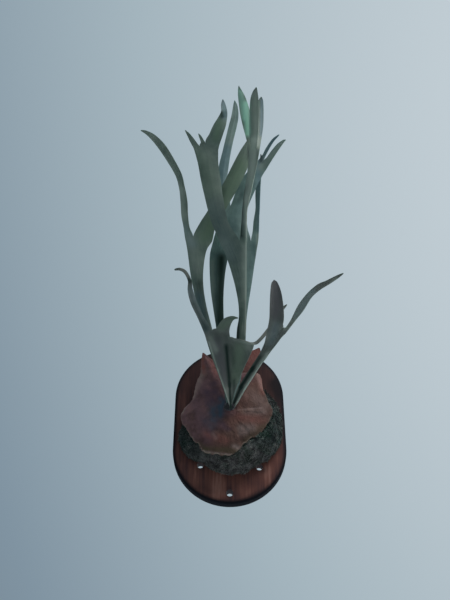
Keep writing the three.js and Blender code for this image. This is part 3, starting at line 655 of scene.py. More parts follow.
shield_marks = {
    "rose": [(202, 354, 204, 372, 2.6, 0.7), (260, 376, 263, 392, 3, 0.5), (240, 418, 262, 420, 5, 0.3),
             (211, 360, 216, 374, 3, 0.35), (205, 434, 226, 441, 4, 0.35)],
    "pale": [(203, 372, 193, 396, 3.2, 0.7), (190, 398, 182, 413, 1.6, 0.6), (258, 374, 262, 387, 2.2, 0.9),
             (243, 448, 262, 434, 1.8, 0.7), (200, 451, 238, 456, 1.2, 0.6), (184, 427, 196, 445, 1.2, 0.5),
             (244, 390, 264, 404, 6, 0.22), (238, 410, 262, 408, 0.8, 0.3),
             (241, 428, 252, 428, 4, 0.55), (245, 412, 263, 412, 3.5, 0.35), (240, 434, 246, 433, 2.5, 0.3),
             (213, 434, 216, 438, 2, 0.5), (234, 446, 238, 448, 2.5, 0.6)],
    "olive": [(206, 450, 236, 451, 4, 0.7), (196, 442, 206, 450, 3, 0.5), (246, 440, 264, 426, 4, 0.5)],
    "violet": [(207, 390, 210, 402, 6, 0.7), (214, 384, 218, 398, 4, 0.6), (196, 404, 204, 425, 5, 0.4),
               (222, 424, 228, 430, 3, 0.5)],
    # Painted shade in the hollow beside the bud.
    "hollow_shade": [(222.5, 401, 219.5, 414, 4.2, 1.0), (213, 408, 214, 420, 5, 0.55),
               (206, 420, 212, 427, 4, 0.3)],
}
print("outline points:", len(shield_edge))

# %% The front shield frond
SHIELD_MIDDLE = (229, 412)
SHIELD_TOP = 72
SHIELD_THICK = 1.3
SHIELD_RINGS = 64
RIBS = 23
TORN = 0.034
HOLLOW = (221, 411)
HOLLOW_DEEP = 4.0
RIB_HIGH = 0.22
DENT_DEEP = 3.2
SMALL_DENT = 1.1
LAYER_HIGH = 1.5
SUNK = 1.2
DIP_MOST = 1.6
SWELL_AT = [0, 0.22, 0.45, 0.68, 0.86, 1.0]
SWELL = [1.0, 1.0, 0.86, 0.6, 0.3, 0.0]
loop = smooth_loop(shield_edge, 7)
shield_points = [place(*SHIELD_MIDDLE, SHIELD_TOP)]
shield_stored = {"side": [0.4], "rim": [0.0], **{tint: [0.0] for tint in shield_marks}}
for ring in range(1, SHIELD_RINGS + 1):
    share = ring / SHIELD_RINGS
    swell = np.interp(share, SWELL_AT, SWELL)
    start = soft(0.05, 0.2, share)
    fade = 1 - soft(0.9, 1.0, share)
    for ex, ey, ef in loop:
        angle = math.atan2(SHIELD_MIDDLE[1] - ey, ex - SHIELD_MIDDLE[0])
        tear = wobble(ex, ey, 3, 3.2) + 0.6 * wobble(ex, ey, 5, 1.3)
        low_edge = soft(430, 447, ey)
        inward = share * (1 - TORN * soft(0.7, 1, share) * (0.5 + 0.5 * low_edge) * (1 + tear))
        x = SHIELD_MIDDLE[0] + (ex - SHIELD_MIDDLE[0]) * inward
        y = SHIELD_MIDDLE[1] + (ey - SHIELD_MIDDLE[1]) * inward
        rib = math.sin(angle * RIBS + 2.2 * wobble(x, y, 1, 14))
        folds = RIB_HIGH * rib * soft(0.15, 0.5, share) * (1 - 0.4 * share)
        dents = DENT_DEEP * wobble(x, y, 0, 14) + SMALL_DENT * wobble(x, y, 7, 5)
        newer = soft(-0.02, 0.05, angle - 0.06 * wobble(x, y, 2, 9))
        layer = LAYER_HIGH * newer * (1 - soft(1.35, 1.6, angle)) * fade * soft(0.1, 0.3, share)
        pit = math.exp(-((x - HOLLOW[0]) / 6) ** 2 - ((y - HOLLOW[1]) / 9) ** 2)
        lift = max(-DIP_MOST, (folds + dents - SUNK) * fade * start + layer)
        height = ef + (SHIELD_TOP - ef) * swell + lift - HOLLOW_DEEP * pit * start
        shield_points.append(place(x, y, height))
        shield_stored["side"].append(soft(196, 262, x + 0.55 * (y - 410) + 7 * wobble(x, y, 9, 11)))
        patchy = 1 + 0.7 * wobble(x, y, 11, 5)
        for tint, marks in shield_marks.items():
            shield_stored[tint].append(min(1.0, patchy * strokes(x, y, marks)))
        shield_stored["rim"].append(0.6 * soft(0.955, 0.995, share) * (0.35 + 0.65 * low_edge)
                                    * soft(-0.5, 0.4, tear))
print("shield points:", len(shield_points))

# %% Its faces and thickness
around = len(loop)
shield_faces = [(0, 1 + k, 1 + (k + 1) % around) for k in range(around)]
for ring in range(1, SHIELD_RINGS):
    for k in range(around):
        a = 1 + (ring - 1) * around + k
        b = 1 + (ring - 1) * around + (k + 1) % around
        shield_faces.append((a, a + around, b + around, b))
body, closed = thicken(shield_points, shield_faces, np.full(len(shield_points), SHIELD_THICK))
doubled = {key: values * 2 for key, values in shield_stored.items()}
shield = make_piece("papery_shield_frond", body, closed, dry, doubled)
seat(shield, "shield_frond", "shield_frond_front")

# %% [markdown]
# Every green frond is a tree of strips. A strip has rows [left x, left y, right x, right y,
# forward, turn, cup]: its two edges on the front sheet, how far forward it stands, how much
# further forward its right edge is than its left, and how deep it is hollowed. A turn or cup
# of 0 at a row's end is left out. `forks` lists the notches between its child strips, and the
# children carry on from its last row. A curve through the rows makes the blade flow, and far
# more rows and columns than in the CAD make it smooth. Subdividing the CAD solids would be
# quicker, but it would soften the notches, and lose the values stored along the blade.

# %% Strips and their tracks
FINE = 7
ROW_VALUES = 7


def strip(rows, kids=(), forks=(), drift=1.5, crease=None):
    """A strip of a frond, with every row filled up to its seven values."""
    full = [row + [0] * (ROW_VALUES - len(row)) for row in rows]
    return {"rows": full, "kids": kids, "forks": forks, "drift": drift, "crease": crease}


def tracks_of(strip):
    """Lines up the strip: its two edges, and one that runs to each notch."""
    rows = strip["rows"]
    left_x, left_y, right_x, right_y, forward, turn, _ = rows[-1]
    span = math.hypot(right_x - left_x, right_y - left_y) or 1
    shares = [0.0]
    for x, y in strip["forks"]:
        shares.append(((x - left_x) * (right_x - left_x) + (y - left_y) * (right_y - left_y)) / span ** 2)
    shares.append(1.0)
    tracks = []
    for k, share in enumerate(shares):
        even = k / (len(shares) - 1)
        line = []
        for r, row in enumerate(rows):
            near = (r / (len(rows) - 1)) ** strip["drift"] if len(rows) > 1 else 1
            at = even + (share - even) * near
            line.append(place(row[0] + (row[2] - row[0]) * at, row[1] + (row[3] - row[1]) * at,
                              row[4] + row[5] * (at - 0.5)))
        if 0 < k < len(shares) - 1:
            line[-1] = place(*strip["forks"][k - 1], forward + turn * (share - 0.5))
            if strip["crease"] and strip["crease"]["track"] == k:
                for r, deep in enumerate(strip["crease"]["depth"]):
                    line[r][1] += deep
        tracks.append(line)
    return tracks


print("a row filled up:", strip([[0, 0, 1, 0, 5]])["rows"][0])

# %% [markdown]
# The frond grower runs up the tracks in small steps. At each step it lays a row of points
# across, cupped and rippled a little, with a shallow midrib on a broad blade, and a round end
# on the last strip. Then it grows the children, each from its own share of the last row.

# %% Lay one row of points
MIDRIB_WIDE = 1.6
MIDRIB_DEEP = 0.35
BROAD_BLADE = 9
RIPPLE = 0.05
RIPPLE_LONG = 26
VEIN_GROUP = 16
DRYNESS = 0.35


def lay_row(grown, marks, cols, cup, along, end):
    """Adds a row of points across the blade, through its tracks' points, and gives their numbers."""
    per = cols // (len(marks) - 1)
    flat = marks[-1] - marks[0]
    back = np.array([flat[1], -flat[0], 0.0])
    back /= np.linalg.norm(back) or 1
    if back[1] < 0:
        back = -back
    spans = np.linalg.norm(np.diff(marks, axis=0), axis=1)
    total = spans.sum() or 1
    ids = []
    for c in range(cols + 1):
        k = min(c // per, len(marks) - 2)
        f = c / per - k
        s = (spans[:k].sum() + f * spans[k]) / total
        bend = 1 - (2 * s - 1) ** 2
        midrib = math.exp(-((s - 0.5) * total / MIDRIB_WIDE) ** 2) if total > BROAD_BLADE else 0
        ripple = RIPPLE * total * wobble(along / MM, s * 3, grown["seed"], RIPPLE_LONG) * (1 - bend)
        point = marks[k] + (marks[k + 1] - marks[k]) * f
        ids.append(len(grown["points"]))
        grown["points"].append(point + back * (cup * bend + ripple - MIDRIB_DEEP * midrib))
        grown["across"].append(s * total / VEIN_GROUP)
        grown["along"].append(along)
        grown["tip"].append(DRYNESS * end * soft(-0.4, 0.6, wobble(along / MM, s * 9, 4, 6)))
    return ids


print("row helper ready")

# %% Grow one strip
def grow_strip(grown, strip, cols, first_row=None, parent=None, along=0.0):
    """Adds a strip and its children. `parent` gives the two rows that it carries on from."""
    kids = strip["kids"]
    tracks = tracks_of(strip)
    for k, line in enumerate(tracks):
        even = k / (len(tracks) - 1)
        line[:0] = [pair[0] + (pair[1] - pair[0]) * even for pair in parent or ()]
    start = 1 if parent else 0
    cups = [0.0] * start + [row[6] for row in strip["rows"]]
    count = (len(tracks[0]) - 1 - start) * FINE
    per = cols // (len(tracks) - 1)
    above = first_row
    past_middle = None
    for r in range(start, count + 1):
        at = start + r / FINE
        marks = np.array([through(line, at) for line in tracks])
        middle = (marks[0] + marks[-1]) / 2
        if past_middle is not None:
            along += np.linalg.norm(middle - past_middle) * MM
        past_middle = middle
        left_over = count - r
        if not kids and left_over < FINE:
            narrow = 0.3 + 0.7 * math.sqrt(max(0.0, 1 - (1 - left_over / FINE) ** 3))
            marks = middle + (marks - middle) * narrow
        cup = through([[c] for c in cups], max(0, at - start))[0]
        end = 0 if kids else 1 - soft(0, 1.3 * FINE, left_over)
        ids = lay_row(grown, marks, cols, cup, along, end)
        if above:
            for c in range(cols):
                grown["faces"].append((above[c], above[c + 1], ids[c + 1], ids[c]))
        above = ids
    for k, kid in enumerate(kids):
        pairs = [np.array([tracks[k][i], tracks[k + 1][i]]) for i in (-2, -1)]
        grow_strip(grown, kid, per, ids[k * per:(k + 1) * per + 1], pairs, along)


print("strip grower ready")

# %% Grow a frond
BLADE_THICK = 1.3
STALK_THICK = 3.4
STALK_LONG = 120


def grow(strip, cols, seed):
    """The points, faces and stored values of a whole frond."""
    grown = {"points": [], "faces": [], "across": [], "along": [], "tip": [], "seed": seed}
    grow_strip(grown, strip, cols)
    return grown


def grow_frond(name, node, strip, cols, material, seed, tints):
    """A green frond that stands for its CAD node, with its own strokes of tint."""
    grown = grow(strip, cols, seed)
    away = np.linalg.norm(np.array(grown["points"]) - grown["points"][0], axis=1)
    thick = BLADE_THICK + (STALK_THICK - BLADE_THICK) * np.maximum(0, 1 - away / STALK_LONG)
    body, closed = thicken(grown["points"], grown["faces"], thick)
    stored = {key: grown[key] * 2 for key in ("across", "along", "tip")}
    seen = [on_sheet(point * MM) for point in grown["points"]]
    for tint in LEAF_TINTS:
        stored[tint] = [min(1.0, strokes(x, y, tints.get(tint, ()))) for x, y in seen] * 2
    seat(make_piece(name, body, closed, material, stored), "green_frond", node)


print("frond grower ready")

# %% [markdown]
# The tall left frond. It climbs behind the others, forks once, and sends one lobe in a long
# bow to the left and a broad olive one up behind the front frond.

# %% The tall left frond
bowed_lobe = strip([
    [183.6, 227, 189.5, 227, 135, 5], [181.5, 215, 188, 214, 140, 6, -1],
    [180.7, 202, 187.3, 200, 146, 6, -1], [179.2, 188, 184.6, 186, 153, 6, -1],
    [175.9, 176.3, 181.7, 174, 158, 5, -1], [168, 162.5, 174, 159, 164, 4, -1],
    [158.7, 148.7, 164.8, 144.5, 168, 3, -1], [150.3, 138.5, 155, 135, 170, 2],
    [144.5, 133.2, 147, 130.9, 170, 1], [140.6, 131, 141, 129.9, 169],
])
olive_lobe = strip([
    [200, 223, 215.6, 226.5, 138, 0, -1], [207, 212, 223.6, 213, 144, -2, -2],
    [213.5, 200, 228.9, 203.5, 149, -3, -3], [221.6, 187, 236.8, 190.2, 155, -3, -3],
    [227.9, 174.6, 244, 176, 160, -3, -3], [233.2, 163.9, 249, 163, 164, -3, -3],
    [240.4, 150.5, 249.5, 150, 168, -2, -1], [246, 142, 250, 142, 170, -1], [248.8, 138, 250, 138, 171],
])
frond_left = strip([
    [229, 408.5, 230.4, 408.5, 82], [228, 403.6, 230.6, 403.6, 83.5],
    [220.6, 380, 225.6, 381, 86, 0, -1], [211, 354, 218.4, 355, 91, 2, -2],
    [204, 331, 212.6, 331, 96, 3, -3], [197, 304, 205.5, 302, 104, 4, -3],
    [191.3, 278, 203, 278, 113, 4, -3], [187.6, 251.4, 205.8, 253, 124, 3, -2],
    [185, 238, 212, 241.5, 130, 2],
], [bowed_lobe, olive_lobe], [[193.2, 236.5]])
# The dark strokes of the upper side here are painted shade: down the lower stem, and on the olive lobe's
# shaded half and foot.
grow_frond("leaf_left", "frond_left", frond_left, 24, felted, 11, {
    "olive": [(205, 236, 242, 165, 9, 0.6)],
    "cool": [(182, 226, 192, 244, 5, 0.5), (204, 325, 200, 296, 5, 0.5)],
    "upper_side_and_shade": [(249.6, 140, 249.4, 158, 1.8, 0.9), (211, 345, 200, 284, 5, 0.6),
              (216, 222, 224, 190, 3, 0.3)],
    "felt_and_highlight": [(183, 215, 150, 138, 5, 0.3), (183, 232, 180, 190, 5, 0.35),
             (180, 190, 165, 158, 5, 0.3), (196, 270, 190, 238, 6, 0.3)],
})

# %% [markdown]
# The short frond. A wedge with a deep crease down the middle, with painted shade in the fold
# and a pale left rim of felt with a painted highlight. Its left lobe ends in a curled tip, its
# middle lobe hooks over to the right, and its right corner runs out into a thin strap.

# %% The short frond
curled_lobe = strip([
    [197.8, 317.8, 203.2, 316, 138, -4], [190.6, 302.4, 196.5, 301, 144, -5],
    [187.8, 290, 192.5, 289, 148, -5], [188, 281, 191.2, 280, 152, -3],
    [184.3, 273.3, 186.4, 271, 157, -1], [179.4, 270.4, 180.2, 267.9, 161],
    [174.5, 270.7, 174.3, 268.6, 163],
])
hooked_lobe = strip([
    [216.5, 328, 229.3, 331, 139, 2, 1], [220, 322.5, 230.5, 325.5, 145, 2, 1],
    [225, 318, 232.7, 321, 150, 1], [232, 316, 235.3, 319, 154], [238, 317.3, 238.4, 318.6, 156],
])
right_corner = strip([
    [238, 341, 250.5, 342.4, 125, -2], [241, 342.2, 248.5, 342.8, 119, -1],
    [243, 343.6, 246.5, 343.8, 113],
])
thin_strap = strip([
    [257.3, 340, 259.4, 342.6, 126], [265.5, 330.6, 268, 333, 122], [275, 317.5, 277.6, 319.5, 119],
    [281, 308.2, 283.6, 310, 119], [286.8, 303.9, 287.4, 305.2, 120],
])
right_side = strip([[234, 340, 255.3, 344.6, 130, -2]], [right_corner, thin_strap], [[251.5, 342.6]])
frond_short = strip([
    [229.6, 408.8, 231.4, 408.8, 86.5], [228.8, 404.4, 232.2, 404.4, 90.4],
    [224.6, 391, 234.6, 391.5, 96], [217.4, 370, 242.5, 371, 106, 2], [210.6, 350, 252, 351, 120, 3],
    [204.3, 333.5, 254, 345, 131, 4],
], [curled_lobe, hooked_lobe, right_side], [[212, 331.5], [230, 337.5]], drift=0.4,
    crease={"track": 2, "depth": [0, 0, 1, 8, 6, 0]})
# The dark strokes down the crease and into the foot are painted shade in the fold, and the pale strokes on
# the left rim are felt with a painted highlight.
grow_frond("leaf_short", "frond_short", frond_short, 36, dusky, 12, {
    "upper_side_and_shade": [(226.2, 346, 229.3, 385, 2.1, 1.0), (229.5, 385, 230.8, 408, 1.4, 1.0),
              (234.5, 380, 233.4, 400, 1.6, 0.6), (231, 348, 234, 364, 3, 0.35),
              (206, 328, 194, 304, 5, 0.75),
              (191.6, 296, 189.5, 281, 3.5, 0.6), (214, 336, 238, 340, 6, 0.25),
              (189.5, 281, 176, 269.5, 2.5, 0.6)],
    "felt_and_highlight": [(209, 343, 217.4, 371, 1.2, 0.6), (217.4, 371, 224.8, 392, 1.3, 0.9),
             (224.8, 392, 229, 404, 1.3, 0.7), (229, 338, 254, 345, 0.9, 0.5),
             (211, 338, 216, 350, 3, 0.4), (248, 346, 252, 350, 2.5, 0.3)],
    "dusk": [(216, 340, 226, 380, 5, 0.8)],
    "cool": [(206, 328, 190, 290, 5, 0.45)],
    "olive": [(240, 348, 236, 378, 7, 0.45), (222, 326, 234, 318, 5, 0.4)],
})

# %% [markdown]
# The right frond. A folded gutter, dark inside with a pale rim, that opens into one upright
# dusky lobe and one long lobe that reaches up right.

# %% The right frond
upright_lobe = strip([
    [267, 331, 283, 324.5, 146, 4, 2], [269.3, 319, 283.9, 318, 151, 2, 3],
    [269.8, 307, 283.3, 305, 156, 0, 3], [270.3, 294, 281.2, 292, 160, -1, 2],
    [271.3, 284, 277.8, 283, 162, -1, 1], [273.2, 280, 275, 280, 162],
])
reaching_lobe = strip([
    [285.5, 328, 286.3, 332.3, 150, 4], [290.8, 320.2, 294.6, 321.4, 158, 5],
    [298.5, 304.8, 302.9, 311, 168, 6, 1], [307.4, 293.4, 311.2, 297.8, 176, 6, 1],
    [317.6, 284.4, 320.2, 289.5, 184, 4, 1], [326.5, 280.6, 329.7, 283.8, 191, 3],
    [335.5, 276.1, 337.4, 278.7, 197, 1], [343.2, 272.6, 343.7, 273.8, 202],
])
frond_right = strip([
    [231.6, 408.6, 233, 409, 84, 3], [233, 404.2, 235.6, 405.2, 86, 3],
    [238.8, 387, 245, 389.3, 96, 8, 1], [249.8, 368.8, 258.6, 367.8, 112, 10, 2],
    [258, 356, 267.6, 355, 126, 10, 3], [264, 345, 281, 338, 139, 8, 2],
], [upright_lobe, reaching_lobe], [[282.3, 329.5]])
grow_frond("leaf_right", "frond_right", frond_right, 24, dusky, 13, {
    "upper_side_and_shade": [(234.4, 404, 241.4, 387, 1.6, 1.0), (241.4, 387, 252.6, 369, 2.4, 1.0),
              (252.6, 369, 260, 357, 2.4, 0.8)],
    "felt_and_highlight": [(237, 404, 246.6, 388, 1.2, 0.9), (246.6, 388, 268, 354, 2.4, 1.0),
             (286, 329, 311, 295, 5, 0.35),
             (296, 322, 336, 279, 2.5, 0.35)],
    "dusk": [(276, 284, 276, 312, 8, 0.85)],
    "cool": [(296, 316, 312, 292, 4, 0.5), (272, 342, 276, 326, 5, 0.3)],
})

# %% [markdown]
# The front frond. The tallest one. Its left half spreads into a broad blade with a side tip, a
# tiny tip and a lobe that twists at its end, and its right half is seen nearly edge-on below
# three tips, the left one a lighter green with a painted glow of light shining through it.

# %% The front frond's broad blade
side_tip = strip([
    [191.6, 144.5, 197.3, 143.5, 210], [189.4, 140.2, 193.8, 138.6, 212], [187, 135, 190, 134, 214],
    [184.7, 130.6, 185.6, 129.9, 216],
])
tiny_tip = strip([
    [200.8, 142.5, 204, 140.8, 212], [199.2, 137.5, 201.8, 136.8, 213], [198, 133.8, 199, 133.4, 214],
])
twisted_lobe = strip([
    [209.5, 133.5, 222.4, 136, 216, -3, -2], [213.5, 124.8, 225.6, 126, 221, -6, -2],
    [217.6, 118.6, 227, 117, 225, -8, -1], [221.3, 111.5, 226.9, 110.8, 230, -7],
    [221.3, 104.5, 225.2, 104, 234, -4], [222.2, 99.3, 223.2, 99.2, 236],
])
broad_blade = strip([
    [211, 221, 228.2, 222, 173, 0, -3], [204.6, 196, 222.8, 196.5, 186, -1, -5],
    [201, 180, 220.6, 180, 194, -2, -5], [197.8, 163, 218.4, 165, 202, -2, -3],
    [193.8, 149, 218.2, 150.5, 208, -2],
], [side_tip, tiny_tip, twisted_lobe], [[199.6, 147.5], [205.2, 143.5]])
print("broad blade rows:", len(broad_blade["rows"]))

# %% The front frond's narrow blade
backlit_tip = strip([
    [246, 138, 250.5, 138.5, 203], [242.8, 126, 251, 126, 204, 0, -1],
    [240.2, 114, 250.6, 114.5, 206, 0, -1], [238.2, 98, 246, 99, 208, 0, -1],
    [237.9, 90.5, 241.8, 90.7, 209], [238.3, 85.8, 239, 85.8, 210],
])
middle_tip = strip([
    [249.3, 136, 257.8, 136.5, 217, 2, -1], [249.6, 118, 258.4, 118.5, 223, 3, -2],
    [250.3, 101, 258.6, 101, 229, 3, -2], [252.6, 92.4, 257.8, 93, 232, 2, -1],
    [255.8, 87.2, 257, 87.2, 234],
])
cool_tip = strip([
    [257, 141, 260.9, 141, 204, -4], [256.5, 126, 263, 127, 203, -5], [256.5, 112, 263.5, 113, 204, -5],
    [258.4, 101, 263.1, 101.5, 206, -2], [260.5, 96.8, 261.8, 96.8, 207],
])
narrow_blade = strip([
    [240.8, 235, 246.7, 235, 165, 10], [241.6, 221, 246.5, 222, 172, 14, -1],
    [243, 205, 247.6, 206.5, 180, 15, -1], [244.8, 190, 251.2, 192, 187, 14, -2],
    [246.8, 178, 254.2, 177.5, 193, 12, -2], [248.3, 165, 257, 164.5, 200, 9, -2],
    [249, 152, 259.2, 152.5, 206, 6],
], [backlit_tip, middle_tip, cool_tip], [[251, 150], [256.6, 149.5]])
print("narrow blade rows:", len(narrow_blade["rows"]))

# %% The front frond
frond_front = strip([
    [228.2, 404.8, 231.2, 404.8, 85], [231.5, 380, 237, 380, 89, 1], [235.5, 355, 243.5, 355, 97, 2, -1],
    [237, 331, 246, 331, 107, 3, -2], [239, 317.8, 246.2, 317.8, 114, 4, -2],
    [238.6, 304, 246.3, 304, 122, 4, -2], [235.5, 287, 246.5, 287, 132, 4, -3],
    [231.4, 271.8, 246.6, 272, 142, 4, -3], [226.2, 256, 246.7, 257, 152, 4, -2],
    [219.5, 241, 246.8, 241.5, 162, 5],
], [broad_blade, narrow_blade], [[239.5, 241]])
# The thin pale stroke down the right half's edge is a painted highlight where its fold catches the light,
# and the fresh green on the left tip is a painted glow of light shining through it.
grow_frond("leaf_front", "frond_front", frond_front, 36, felted, 14, {
    "felt_and_highlight": [(246.4, 200, 245.8, 335, 1.0, 0.9), (244, 245, 244, 300, 2.5, 0.3),
             (252, 190, 256, 150, 2, 0.3),
             (249, 200, 254, 140, 4, 0.8),
             (207, 158, 214, 200, 9, 0.2), (254, 92, 256, 140, 4, 0.45), (246, 222, 246, 196, 3, 0.4)],
    "upper_side_and_shade": [(243.6, 188, 241.4, 236, 1.4, 0.7), (236.5, 395, 238.5, 318, 1.5, 0.8),
              (221.8, 116.5, 221.2, 112.5, 1.6, 0.9), (204, 165, 222, 225, 12, 0.2),
              (240, 290, 241, 330, 6, 0.15)],
    "dusk": [(214, 215, 236, 262, 10, 0.12)],
    "backlit_young_green": [(246.5, 104, 247.5, 134, 3, 1.0), (240, 92, 244, 118, 3.5, 0.6)],
    "cool": [(223, 101, 225, 116, 4, 0.55), (214, 205, 230, 255, 9, 0.15), (262, 100, 261, 135, 2, 0.7)],
    "olive": [(216, 138, 219, 122, 4, 0.5), (253, 145, 254.5, 98, 4, 0.15),
              (203, 160, 212, 190, 8, 0.3)],
})

# %% [markdown]
# The side frond. A cool blue-green frond that passes behind the front one. Its long lobe ends
# in two thin tips up right, and its narrow lobe stands upright.

# %% The side frond
upper_tip = strip([
    [261, 157, 264.4, 158.6, 145], [266.2, 147.8, 268.4, 150.4, 150], [272.5, 139, 274, 141.2, 156],
    [278.9, 134.1, 279.5, 135.2, 161],
])
lower_tip = strip([
    [266.8, 157.5, 271.6, 160.5, 149, 2], [271, 151.5, 276.3, 153.3, 154, 3],
    [277, 144.4, 281.6, 145.6, 160, 3], [282.5, 140.3, 284.6, 141.4, 164, 1],
    [285.5, 139.3, 286, 140.1, 166],
])
long_lobe = strip([
    [229, 228, 247.5, 228, 126, 0, -2], [227, 214, 246.3, 214, 130, 0, -2],
    [231.6, 203.5, 248.5, 205.5, 132, 0, -2], [235.6, 192, 254.3, 192, 135, 0, -2],
    [239, 182.5, 261.5, 177, 139, 0, -2], [247.5, 171.5, 267.3, 167.5, 143],
], [upper_tip, lower_tip], [[262.6, 162]])
narrow_lobe = strip([
    [252.6, 232, 258.8, 231.5, 124, 4], [253.6, 222, 259.2, 221, 126, 6],
    [255.6, 209, 259.6, 209.5, 128, 8], [255.6, 192, 260.3, 192, 129, 8], [257, 178, 261, 178, 130, 6],
    [258.8, 165, 261.8, 165, 131, 3], [260.2, 157, 261.8, 157, 132], [260.3, 154, 261.2, 154, 133],
])
frond_side = strip([
    [231.3, 404.8, 233.9, 405, 79.8], [236, 380, 240.5, 380, 79], [239.5, 350, 245, 350, 84, 2],
    [240, 323, 246.3, 323, 90, 3, -1], [240, 305, 248.2, 305, 96, 3, -2],
    [239.5, 284, 251.6, 284, 104, 3, -3], [238, 262, 254.9, 261.6, 113, 2, -2],
    [235.5, 243.5, 258, 243, 122, 2],
], [long_lobe, narrow_lobe], [[250.8, 241.5]])
grow_frond("leaf_side", "frond_side", frond_side, 24, teal, 15, {
    "cool": [(262, 162, 279, 134, 3, 0.9), (258, 160, 260, 230, 3, 0.5)],
    "felt_and_highlight": [(262, 166, 284, 142, 5, 0.6),
             (240, 270, 245, 220, 7, 0.2), (257.5, 235, 256, 300, 1.5, 0.5)],
    "upper_side_and_shade": [(260.8, 154, 261, 161, 2, 0.8), (240, 200, 247, 190, 3, 0.3)],
})

# %% [markdown]
# The back frond. One long plain strap, the furthest back of all, with a dark middle where its darker upper
# side shows in a fold, deepened with painted shade.

# %% The back frond
frond_back = strip([
    [226.8, 405, 229.6, 405, 78.8], [222.5, 380, 226.6, 380, 77], [219, 350, 224, 350, 79, 1],
    [216.3, 328, 223.9, 326, 82, 2, -1], [213.3, 308, 223.4, 307, 85, 3, -2],
    [211, 291, 223.6, 292, 88, 3, -3], [209.8, 272, 225.2, 273, 92, 3, -3],
    [210, 255, 228, 257, 97, 2, -3], [213.5, 240, 231, 239, 102, 0, -2],
    [219, 218, 231, 218, 107, -2, -2], [219, 198, 229.6, 199, 112, -3, -2],
    [218.2, 180, 227, 182, 117, -3, -2], [219, 166, 228.2, 169, 121, -3, -2],
    [222.4, 152, 230.6, 153.5, 125, -2, -1], [226, 137, 233.7, 139, 129, -2, -1],
    [229, 125, 236.8, 126.4, 133, -1, -1], [231.4, 115.7, 238.5, 116, 136, -1],
    [232.9, 107, 237.6, 106.5, 138], [234, 100.6, 235.2, 100.4, 140],
])
# The broad dark stroke down its middle is painted shade on the fold's far flank, over the darker upper side.
grow_frond("leaf_back", "frond_back", frond_back, 16, teal, 16, {
    "upper_side_and_shade": [(221.5, 258, 221, 348, 5.8, 1.0), (213, 262, 215, 320, 5, 0.25)],
    "cool": [(226, 150, 220, 190, 7, 0.5)],
    "felt_and_highlight": [(234, 105, 230, 140, 6, 0.3), (212.5, 262, 214, 325, 2.0, 0.4)],
})

# %% [markdown]
# The back shield frond is an older lobe that stands up behind the front one. It is a single
# strip, grown as the green ones are, in the papery material, and it flushes rose upwards.

# %% The back shield frond
OLD_LOBE_THICK = 1.4
old_lobe = grow(strip([
    [236, 376, 251, 376, 51.6], [236, 368, 256, 369, 48.5, 0, -3], [240, 360, 260, 362, 45, 0, -4],
    [247, 353.5, 261, 355, 44, 0, -3], [255, 349.5, 260.5, 350.5, 46], [258.3, 347.7, 260, 348, 47],
]), 24, 21)
body, closed = thicken(old_lobe["points"], old_lobe["faces"],
                       np.full(len(old_lobe["points"]), OLD_LOBE_THICK))
heights = np.array(old_lobe["points"])[:, 2]
flush = np.interp(heights, [heights.min(), heights.max()], [0.05, 0.6])
lobe_stored = {"side": [0.6] * len(body), "rose": list(flush) * 2}
back_shield = make_piece("old_shield_lobe", body, closed, dry, lobe_stored)
seat(back_shield, "shield_frond", "shield_frond_back")

# %% [markdown]
# The moss mound itself is right in the CAD, so it stays and takes the moss material. What it
# lacks is the tufts. They grow on a finer copy of the mound, without the faces that the
# shield frond lies on or that face the board.

# %% The moss field
TUFT_ROOM = 8 * MM
BOARD_FACE = -(BOARD_THICK + 0.7) * MM
MERGE = 0.02 * MM
moss_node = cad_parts["moss_root_ball"]
moss_node.data.materials.clear()
moss_node.data.materials.append(moss)
mound = bmesh.new()
mound.from_mesh(moss_node.data)
bmesh.ops.remove_doubles(mound, verts=mound.verts, dist=MERGE)
bmesh.ops.subdivide_edges(mound, edges=mound.edges, cuts=3, use_grid_fill=True)
outline = [(p[0], p[1]) for p in smooth_loop(shield_edge, 4)]
cover = kdtree.KDTree(len(shield.data.vertices))
for vertex in shield.data.vertices:
    cover.insert(vertex.co, vertex.index)
cover.balance()


def inside(x, y, loop):
    """Whether a point lies inside a closed loop."""
    hit = False
    for (x0, y0), (x1, y1) in zip(loop, loop[1:] + loop[:1]):
        if (y0 > y) != (y1 > y) and x < (x1 - x0) * (y - y0) / (y1 - y0) + x0:
            hit = not hit
    return hit


hidden = []
for face in mound.faces:
    centre = face.calc_center_median()
    covered = inside(*on_sheet(centre), outline) and cover.find(centre)[2] < TUFT_ROOM
    if covered or centre.y > BOARD_FACE:
        hidden.append(face)
bmesh.ops.delete(mound, geom=hidden, context="FACES")
field_mesh = bpy.data.meshes.new("moss_field")
mound.to_mesh(field_mesh)
mound.free()
tufts = put("moss_tufts", field_mesh)
print("moss field faces:", len(field_mesh.polygons))

# %% [markdown]
# A real tuft has dozens of leaves. Three bent blades are the coarsest form that still reads as
# a tuft, and they keep the piece light. Each blade is a folded point about 3 mm long.

